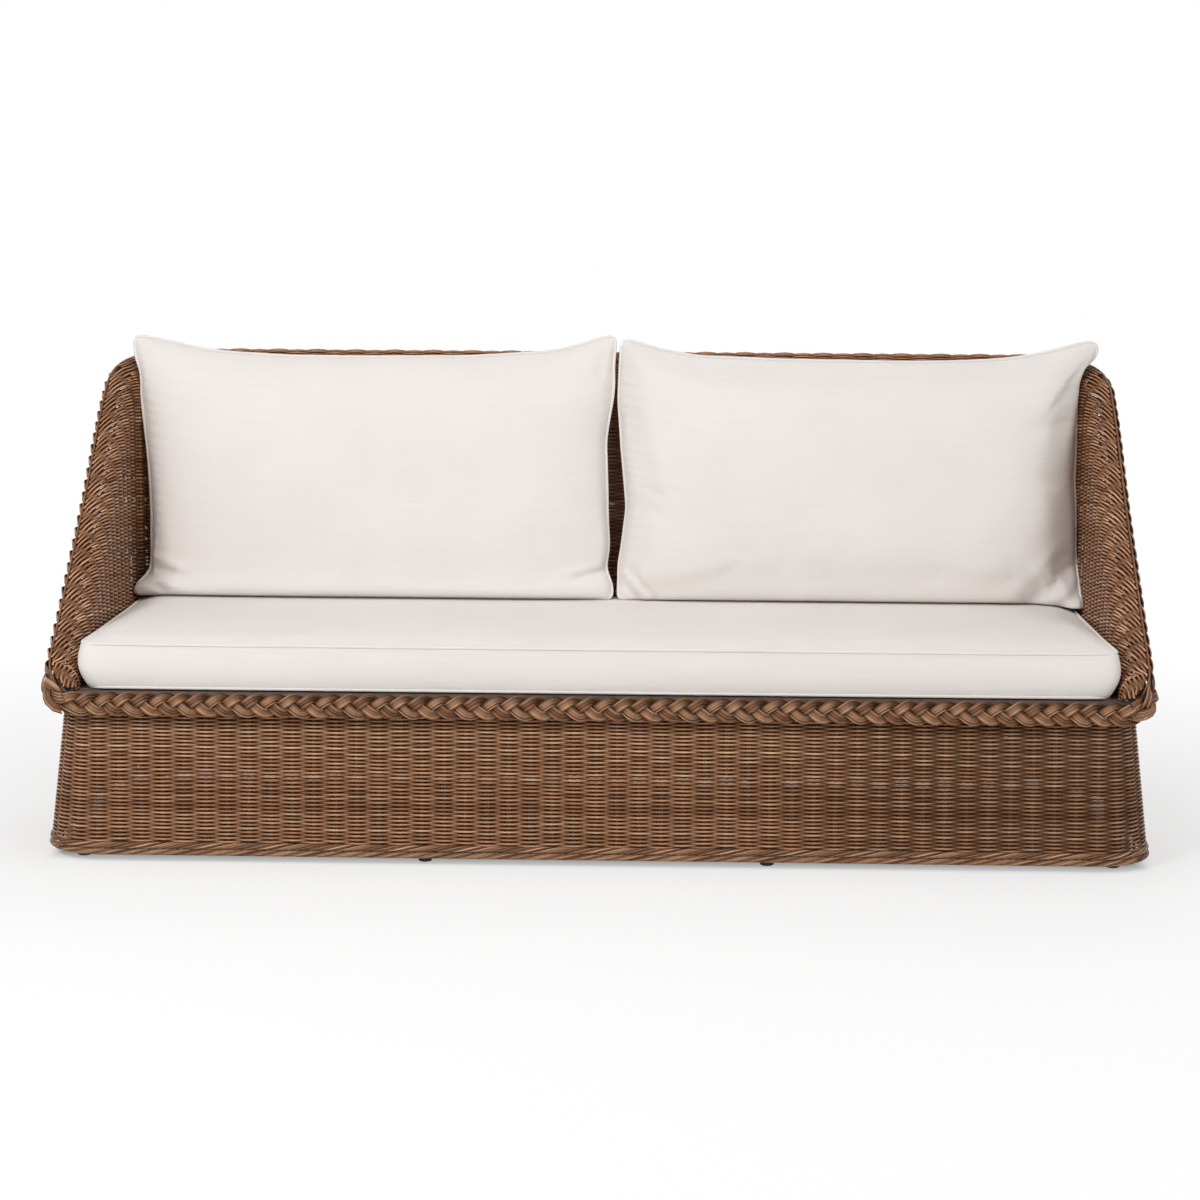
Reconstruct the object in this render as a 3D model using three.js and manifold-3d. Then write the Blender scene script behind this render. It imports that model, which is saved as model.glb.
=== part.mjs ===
// A rattan garden sofa with a flared woven skirt, sloping arms and loose cushions.
// Millimetres, +Z up, +X to the sitter's left, the front faces -Y.
// The origin is on the floor, at the middle of the sofa's width and depth.
import * as THREE from "three";
import { mergeVertices } from "three/addons/utils/BufferGeometryUtils.js";
import Module from "manifold-3d";

const wasm = await Module();
wasm.setup();

// Driving sizes of the whole sofa
const overallDepth = 932;
const backHeight = 953;
const deckHeight = 340;
const seatHalfWidth = 1014;
const armLeanShare = 0.048;
const backLeanShare = 0.25;
const clearance = 0.3;
const cutOverrun = 40;

// The woven wall of the back and arms, one layer thick, rolled outward along its rim
const weaveThickness = 7;
const rollWidth = 44;
const rollHeight = 60;
const rollHeightShare = 0.8;
const backCornerRadius = 130;
const frontCornerRadius = 34;

// The plaited border along the rim
const braidThickness = 16;
const braidHeight = 49;
const braidPitch = 43;
const braidScallop = 2.5;

// The skirt under the seat
const skirtDeckGap = 2;
const skirtCollar = 26;
const skirtFlare = 37;
const frontFlare = 20;
const waistInset = 6;
const waistFrontInset = 38;
const skirtThickness = 6;
const skirtCornerRadius = 80;
const footBorderHeight = 26;
const footBorderBulge = 3;
const footBorderThickness = 13;

// Poles, feet and slats
const ringPoleRadius = 17;
const legRadius = 17;
const postRadius = 9;
const bearerRadius = 14;
const rimPoleRadius = 8.5;
const rimPoleDrop = 21;
const hoopHeight = 76;
const middleLegX = 335;
const endBearerInset = 84;
const backPostX = 500;
const armPostY = -60;
const gliderRadius = 14;
const gliderHeight = 14;
const gliderBevel = 2;
const slatCount = 8;
const slatGap = 14;
const slatThickness = 12;
const slatEdge = 3;
const slatEndGap = 4;

// Cushions
const seatCushionThickness = 90;
const seatCushionCrown = 11;
const seatCushionSide = 9;
const seatCushionInset = 20;
const seatCushionCorner = 40;
const weltRadius = 4;
const cushionFit = 2;
const backCushionSpare = 31;
const backCushionPairGap = 6;
const backCushionPairShift = 23.5;
const backCushionHeight = 550;
const backCushionDepth = 200;
const backCushionSeamIn = 112;
const backCushionDrawIn = 28;
const backCushionTopDip = 42;
const backCushionEar = 13;
const backCushionLeanShare = 0.33;

// What follows from the driving sizes
const frontFaceY = -overallDepth / 2;
const backFaceY = overallDepth / 2;
const armFrontY = frontFaceY + braidThickness + 2 * clearance + frontCornerRadius;
const backInnerTopY = backFaceY - braidThickness - 2 * clearance - rollWidth;
const skirtBottom = gliderHeight + footBorderHeight;
const slatBottom = deckHeight - slatThickness;
const skirtTop = slatBottom - skirtDeckGap;
const flareTop = skirtTop - skirtCollar;
const ringPoleZ = slatBottom - ringPoleRadius - clearance;
const wallFoot = slatBottom + clearance;
const endBearerX = seatHalfWidth - endBearerInset;
const backCushionWidth = seatHalfWidth + backCushionSpare;
const backCushionSpread = (backCushionWidth + backCushionPairGap) / 2;

// Materials
const wicker = new THREE.MeshStandardMaterial({ color: 0x8a6248, roughness: 0.55, metalness: 0 });
const braidCane = new THREE.MeshStandardMaterial({ color: 0x7d573e, roughness: 0.5, metalness: 0 });
const pole = new THREE.MeshStandardMaterial({ color: 0xb08a5e, roughness: 0.5, metalness: 0 });
const slatWood = new THREE.MeshStandardMaterial({ color: 0xa67f56, roughness: 0.65, metalness: 0 });
const gliderPlastic = new THREE.MeshStandardMaterial({ color: 0x1c1a19, roughness: 0.6, metalness: 0 });
const canvas = new THREE.MeshStandardMaterial({ color: 0xece6e1, roughness: 0.9, metalness: 0 });

const sofa = new THREE.Group();

function add(name, geometry, material) {
  const mesh = new THREE.Mesh(geometry, material);
  mesh.name = name;
  sofa.add(mesh);
}

// Lofts. A ring is a list of points that goes up one face of a section and back down the other,
// so that point i lies across from point n - 1 - i and an end can be closed by the strip between them.

function signedVolume(points, index) {
  let sum = 0;
  for (let i = 0; i < index.length; i += 3) {
    const [a, b, c] = [points[index[i]], points[index[i + 1]], points[index[i + 2]]];
    sum += a.dot(b.clone().cross(c));
  }
  return sum;
}

function loft(rings, closed = false) {
  const count = rings[0].length;
  const points = rings.flat();
  const index = [];
  const spans = closed ? rings.length : rings.length - 1;
  for (let ring = 0; ring < spans; ring++) {
    const here = ring * count;
    const next = ((ring + 1) % rings.length) * count;
    for (let i = 0; i < count; i++) {
      const j = (i + 1) % count;
      index.push(here + i, here + j, next + j, here + i, next + j, next + i);
    }
  }
  if (!closed) {
    const last = (rings.length - 1) * count;
    for (let i = 0; i < count / 2 - 1; i++) {
      const [a, b, c, d] = [i, i + 1, count - 2 - i, count - 1 - i];
      index.push(a, c, b, a, d, c);
      index.push(last + a, last + b, last + c, last + a, last + c, last + d);
    }
  }
  if (signedVolume(points, index) < 0) index.reverse();
  const geometry = new THREE.BufferGeometry().setFromPoints(points);
  geometry.setIndex(index);
  geometry.computeVertexNormals();
  return geometry;
}

// Boolean cuts, used where one pole is coped to fit round another

function toSolid(geometry) {
  const plain = geometry.clone();
  for (const name of Object.keys(plain.attributes)) {
    if (name !== "position") plain.deleteAttribute(name);
  }
  const merged = mergeVertices(plain);
  return new wasm.Manifold(
    new wasm.Mesh({
      numProp: 3,
      vertProperties: new Float32Array(merged.attributes.position.array),
      triVerts: new Uint32Array(merged.index.array),
    }),
  );
}

function toGeometry(solid) {
  const mesh = solid.getMesh();
  const geometry = new THREE.BufferGeometry();
  geometry.setAttribute("position", new THREE.BufferAttribute(mesh.vertProperties, 3));
  geometry.setIndex(new THREE.BufferAttribute(mesh.triVerts, 1));
  geometry.computeVertexNormals();
  return geometry;
}

function cope(geometry, ...cutters) {
  let solid = toSolid(geometry);
  for (const cutter of cutters) solid = solid.subtract(toSolid(cutter));
  const bodies = solid.decompose().sort((a, b) => b.volume() - a.volume());
  return toGeometry(bodies[0]);
}

// Poles

const poleSides = 10;

function straightPole(from, to, radius) {
  const along = new THREE.Vector3().subVectors(to, from);
  const geometry = new THREE.CylinderGeometry(radius, radius, along.length(), poleSides);
  geometry.applyQuaternion(
    new THREE.Quaternion().setFromUnitVectors(new THREE.Vector3(0, 1, 0), along.clone().normalize()),
  );
  const middle = from.clone().add(to).multiplyScalar(1 / 2);
  return geometry.translate(middle.x, middle.y, middle.z);
}

// A bent pole through stations, each with its point and the sideways direction of its section
function bentPole(stations, radius) {
  return loft(
    stations.map(({ point, out, down }) =>
      Array.from({ length: poleSides }, (_, i) => {
        const angle = ((i + 1 / 2) * 2 * Math.PI) / poleSides;
        return point
          .clone()
          .addScaledVector(out, radius * Math.cos(angle))
          .addScaledVector(down, radius * Math.sin(angle));
      }),
    ),
  );
}

// Stations are given the direction that is square to both their path and their outward direction
function withDown(stations) {
  return stations.map((station, i) => {
    const before = stations[Math.max(i - 1, 0)].point;
    const after = stations[Math.min(i + 1, stations.length - 1)].point;
    const along = after.clone().sub(before).normalize();
    const down = along.cross(station.out).normalize();
    if (down.z > 0) down.negate();
    return { ...station, down };
  });
}

// The plan of the seat ring, the skirt and the foot hoop: a rounded rectangle that grows by `grow`
// from the outer face of the skirt at its waist

const cornerSteps = 4;
const quarterTurn = Math.PI / 2;

const waistHalfWidth = seatHalfWidth + armLeanShare * (skirtTop - deckHeight) + rollWidth - waistInset;
const waistFrontY = frontFaceY + waistFrontInset;
const waistBackY = backInnerTopY - backLeanShare * (backHeight - skirtTop) + rollWidth - waistInset;
const waistBackRadius = backCornerRadius + rollWidth - waistInset;

// The corners of the plan at height z, where the skirt has flared out from its waist
function planCorners(z) {
  const flared = Math.max(0, (flareTop - z) / (flareTop - gliderHeight));
  const grown = skirtFlare * flared;
  const front = { radius: skirtCornerRadius + grown, way: -1 };
  const back = { radius: waistBackRadius + grown, way: 1 };
  front.x = waistHalfWidth + grown - front.radius;
  front.y = waistFrontY - frontFlare * flared + front.radius;
  back.x = waistHalfWidth + grown - back.radius;
  back.y = waistBackY + grown - back.radius;
  return { front, back };
}

// Quarter arc round one corner; `from` and `to` are angles from +X
function cornerArc(centreX, centreY, radius, from, to, steps) {
  return Array.from({ length: steps + 1 }, (_, i) => {
    const angle = from + ((to - from) * i) / steps;
    const out = new THREE.Vector3(Math.cos(angle), Math.sin(angle), 0);
    return { point: new THREE.Vector3(centreX, centreY, 0).addScaledVector(out, radius), out };
  });
}

// One side of the plan, from the middle of one corner to the middle of the next, `grow` outside the
// skirt's outer face at height z
function planSide(side, grow, z, steps = cornerSteps) {
  const half = quarterTurn / 2;
  const { front, back } = planCorners(z);
  const arc = (corner, sign, from, to) =>
    cornerArc(sign * corner.x, corner.y, corner.radius + grow, from, to, steps);
  const sides = {
    front: () => [
      ...arc(front, -1, -quarterTurn - half, -quarterTurn),
      ...arc(front, 1, -quarterTurn, -half),
    ],
    right: () => [...arc(front, 1, -half, 0), ...arc(back, 1, 0, half)],
    back: () => [...arc(back, 1, half, quarterTurn), ...arc(back, -1, quarterTurn, quarterTurn + half)],
    left: () => [
      ...arc(back, -1, quarterTurn + half, 2 * quarterTurn),
      ...arc(front, -1, -2 * quarterTurn, -quarterTurn - half),
    ],
  };
  return sides[side]().map(({ point, out }) => ({ point: point.setZ(z), out }));
}

const sideNames = ["front", "right", "back", "left"];

function planLoop(grow, z, steps) {
  return sideNames.flatMap((side) => planSide(side, grow, z, steps).slice(0, -1));
}

// A ring round the plan, with its section given as pairs of outward growth and height
function planRing(section, steps) {
  const loops = section.map(([grow, z]) => planLoop(grow, z, steps));
  return loft(
    loops[0].map((_, i) => loops.map((loop) => loop[i].point)),
    true,
  );
}

// The skirt and its foot border

const skirtLevels = [skirtTop, flareTop, skirtBottom + clearance];
const skirtSection = [
  ...skirtLevels.map((z) => [0, z]),
  ...skirtLevels.toReversed().map((z) => [-skirtThickness, z]),
];
add("skirt_weave", planRing(skirtSection, cornerSteps), wicker);

const borderShares = [0, 0.3, 0.7, 1];
const borderFace = borderShares.map((share) => {
  const z = gliderHeight + footBorderHeight * share;
  return [footBorderBulge * Math.sin(Math.PI * share), z];
});
const borderInner = borderFace.toReversed().map(([, z]) => [footBorderBulge - footBorderThickness, z]);
add("foot_border", planRing([...borderFace, ...borderInner], cornerSteps), braidCane);

// The seat ring: bent poles just inside the skirt's top, joined at the corner legs

const ringGrow = -skirtThickness - clearance - ringPoleRadius;

const waist = planCorners(skirtTop);

function cornerPoint(corner, sign, grow) {
  const reach = (corner.radius + grow) * Math.SQRT1_2;
  return new THREE.Vector3(sign * (corner.x + reach), corner.y + corner.way * reach, 0);
}

function lift(point, z) {
  return new THREE.Vector3(point.x, point.y, z);
}

const legs = [];
for (const [handName, sign] of [
  ["left", -1],
  ["right", 1],
]) {
  for (const [endName, corner] of [
    ["front", waist.front],
    ["rear", waist.back],
  ]) {
    const at = cornerPoint(corner, sign, ringGrow);
    legs.push({ name: `${endName}_corner_${handName}`, at, corner: true });
  }
  legs.push({
    name: `front_middle_${handName}`,
    at: new THREE.Vector3(sign * middleLegX, waistFrontY - ringGrow, 0),
  });
  legs.push({
    name: `rear_middle_${handName}`,
    at: new THREE.Vector3(sign * middleLegX, waistBackY + ringGrow, 0),
  });
}

function legPole(leg, radius, top) {
  return straightPole(lift(leg.at, gliderHeight), lift(leg.at, top), radius);
}

const cornerLegCutters = legs
  .filter((leg) => leg.corner)
  .map((leg) => legPole(leg, legRadius + clearance, slatBottom + cutOverrun));

function seatRing(side, grow) {
  return bentPole(withDown(planSide(side, ringGrow, ringPoleZ)), ringPoleRadius + grow);
}

for (const side of sideNames) {
  add(`seat_ring_${side}`, cope(seatRing(side, 0), ...cornerLegCutters), pole);
}

for (const leg of legs) {
  if (leg.corner) {
    add(`leg_${leg.name}`, legPole(leg, legRadius, slatBottom - clearance), pole);
  } else {
    const side = leg.name.startsWith("front") ? "front" : "back";
    const straight = legPole(leg, legRadius, ringPoleZ);
    add(`leg_${leg.name}`, cope(straight, seatRing(side, clearance)), pole);
  }
}

// The gliders under the legs, with a bevelled foot
function glider() {
  const profile = [
    new THREE.Vector2(0, 0),
    new THREE.Vector2(gliderRadius - gliderBevel, 0),
    new THREE.Vector2(gliderRadius, gliderBevel),
    new THREE.Vector2(gliderRadius, gliderHeight),
    new THREE.Vector2(0, gliderHeight),
  ];
  return new THREE.LatheGeometry(profile, poleSides).rotateX(quarterTurn);
}

for (const leg of legs) {
  add(`glider_${leg.name}`, glider().translate(leg.at.x, leg.at.y, 0), gliderPlastic);
}

function frontCornerRoom(z) {
  const { front } = planCorners(z);
  return front.radius - front.y;
}

// The foot hoop fills the room between the legs and the flared skirt, which is woven onto it
const hoopRoom = waistFrontY + frontCornerRoom(hoopHeight);
const hoopRadius = hoopRoom / 2 - 2 * clearance;
const hoopGrow = -skirtThickness - 2 * clearance - hoopRadius;
const hoopEnd = 1.5;
for (const side of sideNames) {
  const stations = withDown(planSide(side, hoopGrow, hoopHeight));
  const along = (from, to) => to.point.clone().sub(from.point).normalize();
  stations[0].point.addScaledVector(along(stations[0], stations[1]), hoopEnd);
  stations.at(-1).point.addScaledVector(along(stations.at(-1), stations.at(-2)), hoopEnd);
  add(`foot_hoop_${side}`, bentPole(stations, hoopRadius), pole);
}

// The rim: a smooth line from the front corner up the arm and round to the back.
// Each pair is a share of the way and the share of the climb reached there.
const rimWayShares = [0, 0.0585, 0.156, 0.2924, 0.4873, 0.6823, 0.7817, 0.883, 1];
const rimClimbShares = [0, 0.0966, 0.1891, 0.3276, 0.5499, 0.8277, 0.9437, 0.992, 1];
const armLength = backInnerTopY - backCornerRadius - armFrontY;
const outerCornerRadius = backCornerRadius + rollWidth;
const frontTurnLength = frontCornerRadius * quarterTurn;
const rimLength = frontTurnLength + armLength + outerCornerRadius * quarterTurn;

const startSlopeShare = 0.5;

function slopeShare(i) {
  const rise = (a, b) => (rimClimbShares[b] - rimClimbShares[a]) / (rimWayShares[b] - rimWayShares[a]);
  if (i === 0) return rise(0, 1) * startSlopeShare;
  if (i === rimWayShares.length - 1) return 0;
  return (rise(i - 1, i) + rise(i, i + 1)) / 2;
}

function rimHeight(way) {
  const share = THREE.MathUtils.clamp(way / rimLength, 0, 1);
  const i = Math.max(0, rimWayShares.findIndex((end) => share <= end) - 1);
  const span = rimWayShares[i + 1] - rimWayShares[i];
  const t = (share - rimWayShares[i]) / span;
  const [a, b] = [rimClimbShares[i], rimClimbShares[i + 1]];
  const [slopeA, slopeB] = [slopeShare(i) * span, slopeShare(i + 1) * span];
  const between = a * (1 + 2 * t) * (1 - t) ** 2 + b * t * t * (3 - 2 * t);
  const climb = between + slopeA * t * (1 - t) ** 2 - slopeB * t * t * (1 - t);
  return deckHeight + (backHeight - deckHeight) * climb;
}

// Stations along the rim: -3 is the middle of the front, -2 to 0 go round the front corner, 0 to 1 up
// the arm, 1 to 2 round the back corner, and 3 is the middle of the back.
const [frontMiddle, frontTurn, cornerMid, armStart] = [-3, -2, -1, 0];
const [armEnd, backMid, backTurn, backMiddle] = [1, 1.5, 2, 3];

function wayAt(u) {
  if (u <= armStart) return frontTurnLength * Math.max(1 - u / frontTurn, 0);
  if (u <= armEnd) return frontTurnLength + u * armLength;
  return frontTurnLength + armLength + (u - armEnd) * outerCornerRadius * quarterTurn;
}

// A point of the wall at height z, `offset` outward from its inner face
function wallPoint(u, z, offset) {
  const halfWidth = seatHalfWidth + armLeanShare * (z - deckHeight);
  const back = backInnerTopY - backLeanShare * (backHeight - z);
  const corner = { x: halfWidth - backCornerRadius, y: back - backCornerRadius };
  const front = { x: halfWidth + rollWidth - frontCornerRadius, y: armFrontY };
  const turned = (centre, radius, angle) => {
    const out = new THREE.Vector3(Math.cos(angle), Math.sin(angle), 0);
    return { point: new THREE.Vector3(centre.x, centre.y, z).addScaledVector(out, radius), out };
  };
  if (u < armStart) {
    const reach = frontCornerRadius + offset - rollWidth;
    if (u >= frontTurn) return turned(front, reach, (u * quarterTurn) / 2);
    const station = turned(front, reach, -quarterTurn);
    station.point.x = front.x * (u - frontMiddle);
    return station;
  }
  if (u <= armEnd) {
    const y = armFrontY + u * (corner.y - armFrontY);
    return { point: new THREE.Vector3(halfWidth + offset, y, z), out: new THREE.Vector3(1, 0, 0) };
  }
  if (u <= backTurn) return turned(corner, backCornerRadius + offset, (u - armEnd) * quarterTurn);
  const station = turned(corner, backCornerRadius + offset, quarterTurn);
  station.point.x = corner.x * (backMiddle - u);
  return station;
}

function rimStation(u, offset, drop) {
  const z = rimHeight(wayAt(u));
  const { point, out } = wallPoint(u, z, offset);
  return { point: point.setZ(z - drop), out };
}

const mirroredPoint = (v) => new THREE.Vector3(-v.x, v.y, v.z);

function mirroredStation(station) {
  return Object.fromEntries(Object.entries(station).map(([key, v]) => [key, mirroredPoint(v)]));
}

// Runs a half path on to its mirror image, through the middle of the sofa
function wholeFromHalf(half) {
  return [...half, ...half.map(mirroredStation).toReversed().slice(1)];
}

// The section of the wall, up its inner face, over the roll and back down its outer face
const rollSteps = 4;

function wallSection(foot, top, width, place) {
  const roll = Math.min(rollHeight, (top - foot) * rollHeightShare);
  const thick = Math.min(weaveThickness, roll / 2, width / 2);
  const face = [place(0, foot)];
  const underside = [place(thick, foot)];
  for (let i = 0; i <= rollSteps; i++) {
    const angle = (quarterTurn * i) / rollSteps;
    const [across, up] = [1 - Math.cos(angle), Math.sin(angle)];
    face.push(place(width * across, top - roll + roll * up));
    underside.push(place(thick + (width - thick) * across, top - roll + (roll - thick) * up));
  }
  return [...face, ...underside.toReversed()];
}

function wallRing(u) {
  const place = (offset, z) => wallPoint(u, z, offset).point;
  return wallSection(wallFoot, rimHeight(wayAt(u)), rollWidth, place);
}

// In front of the arm's straight part the roll narrows as the border turns the corner
const braidChordSag = (braidPitch / 2) ** 2 / (8 * frontCornerRadius);
const frontEndShare = 0.8;
const frontEndSteps = 3;

function frontEndRings() {
  return Array.from({ length: frontEndSteps }, (_, i) => {
    const reach = frontCornerRadius * frontEndShare * (1 - i / frontEndSteps);
    const turnedIn = frontCornerRadius - Math.sqrt(frontCornerRadius ** 2 - reach ** 2);
    const width = rollWidth - braidChordSag - turnedIn;
    const turn = Math.asin(reach / frontCornerRadius) / (quarterTurn / 2);
    const foot = deckHeight + clearance;
    const top = Math.max(rimHeight(wayAt(-turn)), foot + weaveThickness);
    return wallSection(foot, top, width, (offset, z) => {
      const { point } = wallPoint(armStart, z, offset);
      return point.setY(point.y - reach);
    });
  });
}

const armStationShares = [0, 0.06, 0.15, 0.28, 0.42, 0.56, 0.7, 0.85, 1, 1.17, 1.33];
const backStationShares = [1.67, 1.83, 2, 3];
const seamShare = 0.0015;

const armWall = [...frontEndRings(), ...[...armStationShares, backMid - seamShare].map(wallRing)];
const backHalfWall = [backMid + seamShare, ...backStationShares].map(wallRing);
const mirroredRings = (rings) => rings.map((ring) => ring.map(mirroredPoint));
const backWall = [...backHalfWall, ...mirroredRings(backHalfWall).toReversed().slice(1)];
add("wall_weave_right", loft(armWall), wicker);
add("wall_weave_left", loft(mirroredRings(armWall)), wicker);
add("wall_weave_back", loft(backWall), wicker);

// The plaited border. Its line is sampled closely, framed as one run and then walked at even steps.

function spread(from, to, steps) {
  return Array.from({ length: steps + 1 }, (_, i) => from + ((to - from) * i) / steps);
}

const fineSteps = { straight: 4, frontCorner: 10, arm: 40, backCorner: 20 };
const fineStations = [
  ...spread(frontMiddle, frontTurn, fineSteps.straight),
  ...spread(frontTurn, armStart, 2 * fineSteps.frontCorner).slice(1),
  ...spread(armStart, armEnd, fineSteps.arm).slice(1),
  ...spread(armEnd, backTurn, fineSteps.backCorner).slice(1),
  ...spread(backTurn, backMiddle, fineSteps.straight).slice(1),
];
const braidLine = withDown(fineStations.map((u) => rimStation(u, rollWidth + 2 * clearance, 0)));

function braidRun(from, to) {
  return braidLine.filter((_, i) => fineStations[i] >= from && fineStations[i] <= to);
}

function walk(stations, stepCount) {
  const reach = [0];
  for (let i = 1; i < stations.length; i++) {
    reach.push(reach[i - 1] + stations[i].point.distanceTo(stations[i - 1].point));
  }
  return spread(0, reach.at(-1), stepCount).map((way) => {
    const i = Math.min(Math.max(reach.findIndex((end) => end >= way), 1), stations.length - 1);
    const t = (way - reach[i - 1]) / (reach[i] - reach[i - 1]);
    const mix = (key) => stations[i - 1][key].clone().lerp(stations[i][key], t);
    return { point: mix("point"), out: mix("out").normalize(), down: mix("down").normalize() };
  });
}

function pathLength(stations) {
  return stations.slice(1).reduce((sum, s, i) => sum + s.point.distanceTo(stations[i].point), 0);
}

// Draws the two ends of a run in, so that neighbouring pieces keep their clearance
function trimmed(stations) {
  const result = stations.map((s) => ({ ...s, point: s.point.clone() }));
  for (const [end, inner] of [
    [result[0], result[1]],
    [result.at(-1), result.at(-2)],
  ]) {
    end.point.addScaledVector(inner.point.clone().sub(end.point).normalize(), clearance);
  }
  return result;
}

// Section of the border in shares of its thickness and height, up the back and down the face
const braidSectionShares = [
  [0, 0.93],
  [0, 0.5],
  [0, 0.07],
  [0.62, 0],
  [1, 0.24],
  [0.86, 0.5],
  [1, 0.76],
  [0.62, 1],
];

function braid(stations) {
  const count = 2 * Math.round(pathLength(stations) / braidPitch);
  const rings = walk(trimmed(stations), count).map(({ point, out, down }, ring) =>
    braidSectionShares.map(([outShare, downShare]) => {
      const upper = 1 - 2 * downShare;
      const hollow = (ring % 2 ? upper > 0 : upper < 0) ? braidScallop * outShare : 0;
      return point
        .clone()
        .addScaledVector(out, outShare * braidThickness - hollow * Math.abs(upper))
        .addScaledVector(down, downShare * braidHeight + hollow * upper);
    }),
  );
  return loft(rings);
}

const armBraidRun = braidRun(cornerMid, backMid);
add("braid_front", braid(wholeFromHalf(braidRun(frontMiddle, cornerMid).toReversed())), braidCane);
add("braid_right", braid(armBraidRun), braidCane);
add("braid_left", braid(armBraidRun.map(mirroredStation)), braidCane);
add("braid_back", braid(wholeFromHalf(braidRun(backMid, backMiddle))), braidCane);

// Rim poles under the roll, behind the border

const rimPoleOffset = rollWidth - rimPoleRadius - braidChordSag - clearance;
const rimPoleTuck = rimPoleRadius + 2 * clearance;

function rimSlope(u) {
  const way = wayAt(u);
  return (rimHeight(way + clearance) - rimHeight(way - clearance)) / (2 * clearance);
}

// The pole lies lower where the rim is steep, as its section is then tilted
function rimPoleStation(u) {
  const share = THREE.MathUtils.clamp((u - frontTurn) / (armStart - frontTurn), 0, 1);
  const tilt = Math.hypot(1, rimSlope(u)) - 1;
  const drop = rimPoleDrop + (rimPoleRadius + weaveThickness / 2) * tilt;
  return rimStation(u, rimPoleOffset, rimPoleTuck + (drop - rimPoleTuck) * share);
}

const frontStationShares = [frontMiddle, frontTurn, -1.6, -1.3, cornerMid, -0.75, -0.5, -0.25];
const poleStations = [...frontStationShares, ...armStationShares, backMid, ...backStationShares];
const poleLine = withDown(poleStations.map(rimPoleStation));

function poleRun(from, to) {
  return poleLine.filter((_, i) => poleStations[i] >= from && poleStations[i] <= to);
}

const rimPoles = {
  front: wholeFromHalf(poleRun(frontMiddle, cornerMid).toReversed()),
  right: poleRun(cornerMid, backMid),
  back: wholeFromHalf(poleRun(backMid, backMiddle)),
};

// Posts lean from the seat ring out to the rim poles

function postPole(u, x, radius) {
  const footZ = skirtTop + clearance + radius * backLeanShare;
  const foot = wallPoint(u, footZ, weaveThickness + 2 * clearance + radius).point;
  const head = rimPoleStation(u).point;
  if (x !== undefined) {
    foot.x = x;
    head.x = x;
  }
  return straightPole(foot, head, radius);
}

const postPlaces = {
  corner: [backMid],
  back: [backMiddle, backPostX],
  arm: [(armPostY - armFrontY) / armLength],
};

const mirrorX = new THREE.Matrix4().makeScale(-1, 1, 1);
function mirroredGeometry(geometry) {
  const copy = geometry.clone().applyMatrix4(mirrorX);
  copy.setIndex(Array.from(copy.index.array).reverse());
  return copy;
}

const rightPole = bentPole(trimmed(rimPoles.right), rimPoleRadius);
add("rim_pole_front", bentPole(trimmed(rimPoles.front), rimPoleRadius), pole);
add("rim_pole_right", rightPole, pole);
add("rim_pole_left", mirroredGeometry(rightPole), pole);
add("rim_pole_back", bentPole(trimmed(rimPoles.back), rimPoleRadius), pole);

const cornerLegs = legs.filter((leg) => leg.corner);
const middleLegs = legs.filter((leg) => !leg.corner);
const poleCutters = [
  ...sideNames.map((side) => seatRing(side, clearance)),
  ...cornerLegs.map((leg) => legPole(leg, legRadius + clearance, slatBottom)),
  ...[rimPoles.right, rimPoles.back].map((stations) => bentPole(stations, rimPoleRadius + clearance)),
];

for (const [name, [u, x]] of Object.entries(postPlaces)) {
  const geometry = cope(postPole(u, x, postRadius), ...poleCutters);
  add(`post_${name}_right`, geometry, pole);
  add(`post_${name}_left`, mirroredGeometry(geometry), pole);
}

// Bearers run from the front of the seat ring to the back and carry the slats
const bearerZ = slatBottom - bearerRadius - clearance;
const middleLegCutters = middleLegs.map((leg) => legPole(leg, legRadius + clearance, ringPoleZ));
const bearerPlaces = [-endBearerX, -middleLegX, middleLegX, endBearerX];
bearerPlaces.forEach((x, i) => {
  const from = new THREE.Vector3(x, waistFrontY - ringGrow, bearerZ);
  const to = new THREE.Vector3(x, waistBackY + ringGrow, bearerZ);
  const bearer = straightPole(from, to, bearerRadius);
  add(`bearer_${i + 1}`, cope(bearer, ...poleCutters, ...middleLegCutters), pole);
});

// Slats of the seat deck run from arm to arm and stop short of the wall
const deckFrontY = waistFrontY + clearance;
const wallBackY = backInnerTopY - backLeanShare * (backHeight - slatBottom);
const deckBackY = wallBackY - slatEndGap;
const slatPitch = (deckBackY - deckFrontY + slatGap) / slatCount;
const slatWidth = slatPitch - slatGap;

function circleReach(radius, rise) {
  return Math.sqrt(Math.max(radius ** 2 - rise ** 2, 0));
}

function slatHalfLength(front, back) {
  const straight = seatHalfWidth - armLeanShare * slatThickness - slatEndGap;
  const poleCorner = frontCornerRadius - rollWidth + rimPoleOffset - rimPoleRadius - slatEndGap;
  const atFront = straight - frontCornerRadius + rollWidth + circleReach(poleCorner, armFrontY - front);
  const cornerY = deckBackY - backCornerRadius;
  const atBack = straight - backCornerRadius + circleReach(backCornerRadius, back - cornerY);
  return Math.min(straight, front < armFrontY ? atFront : straight, back > cornerY ? atBack : straight);
}

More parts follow.
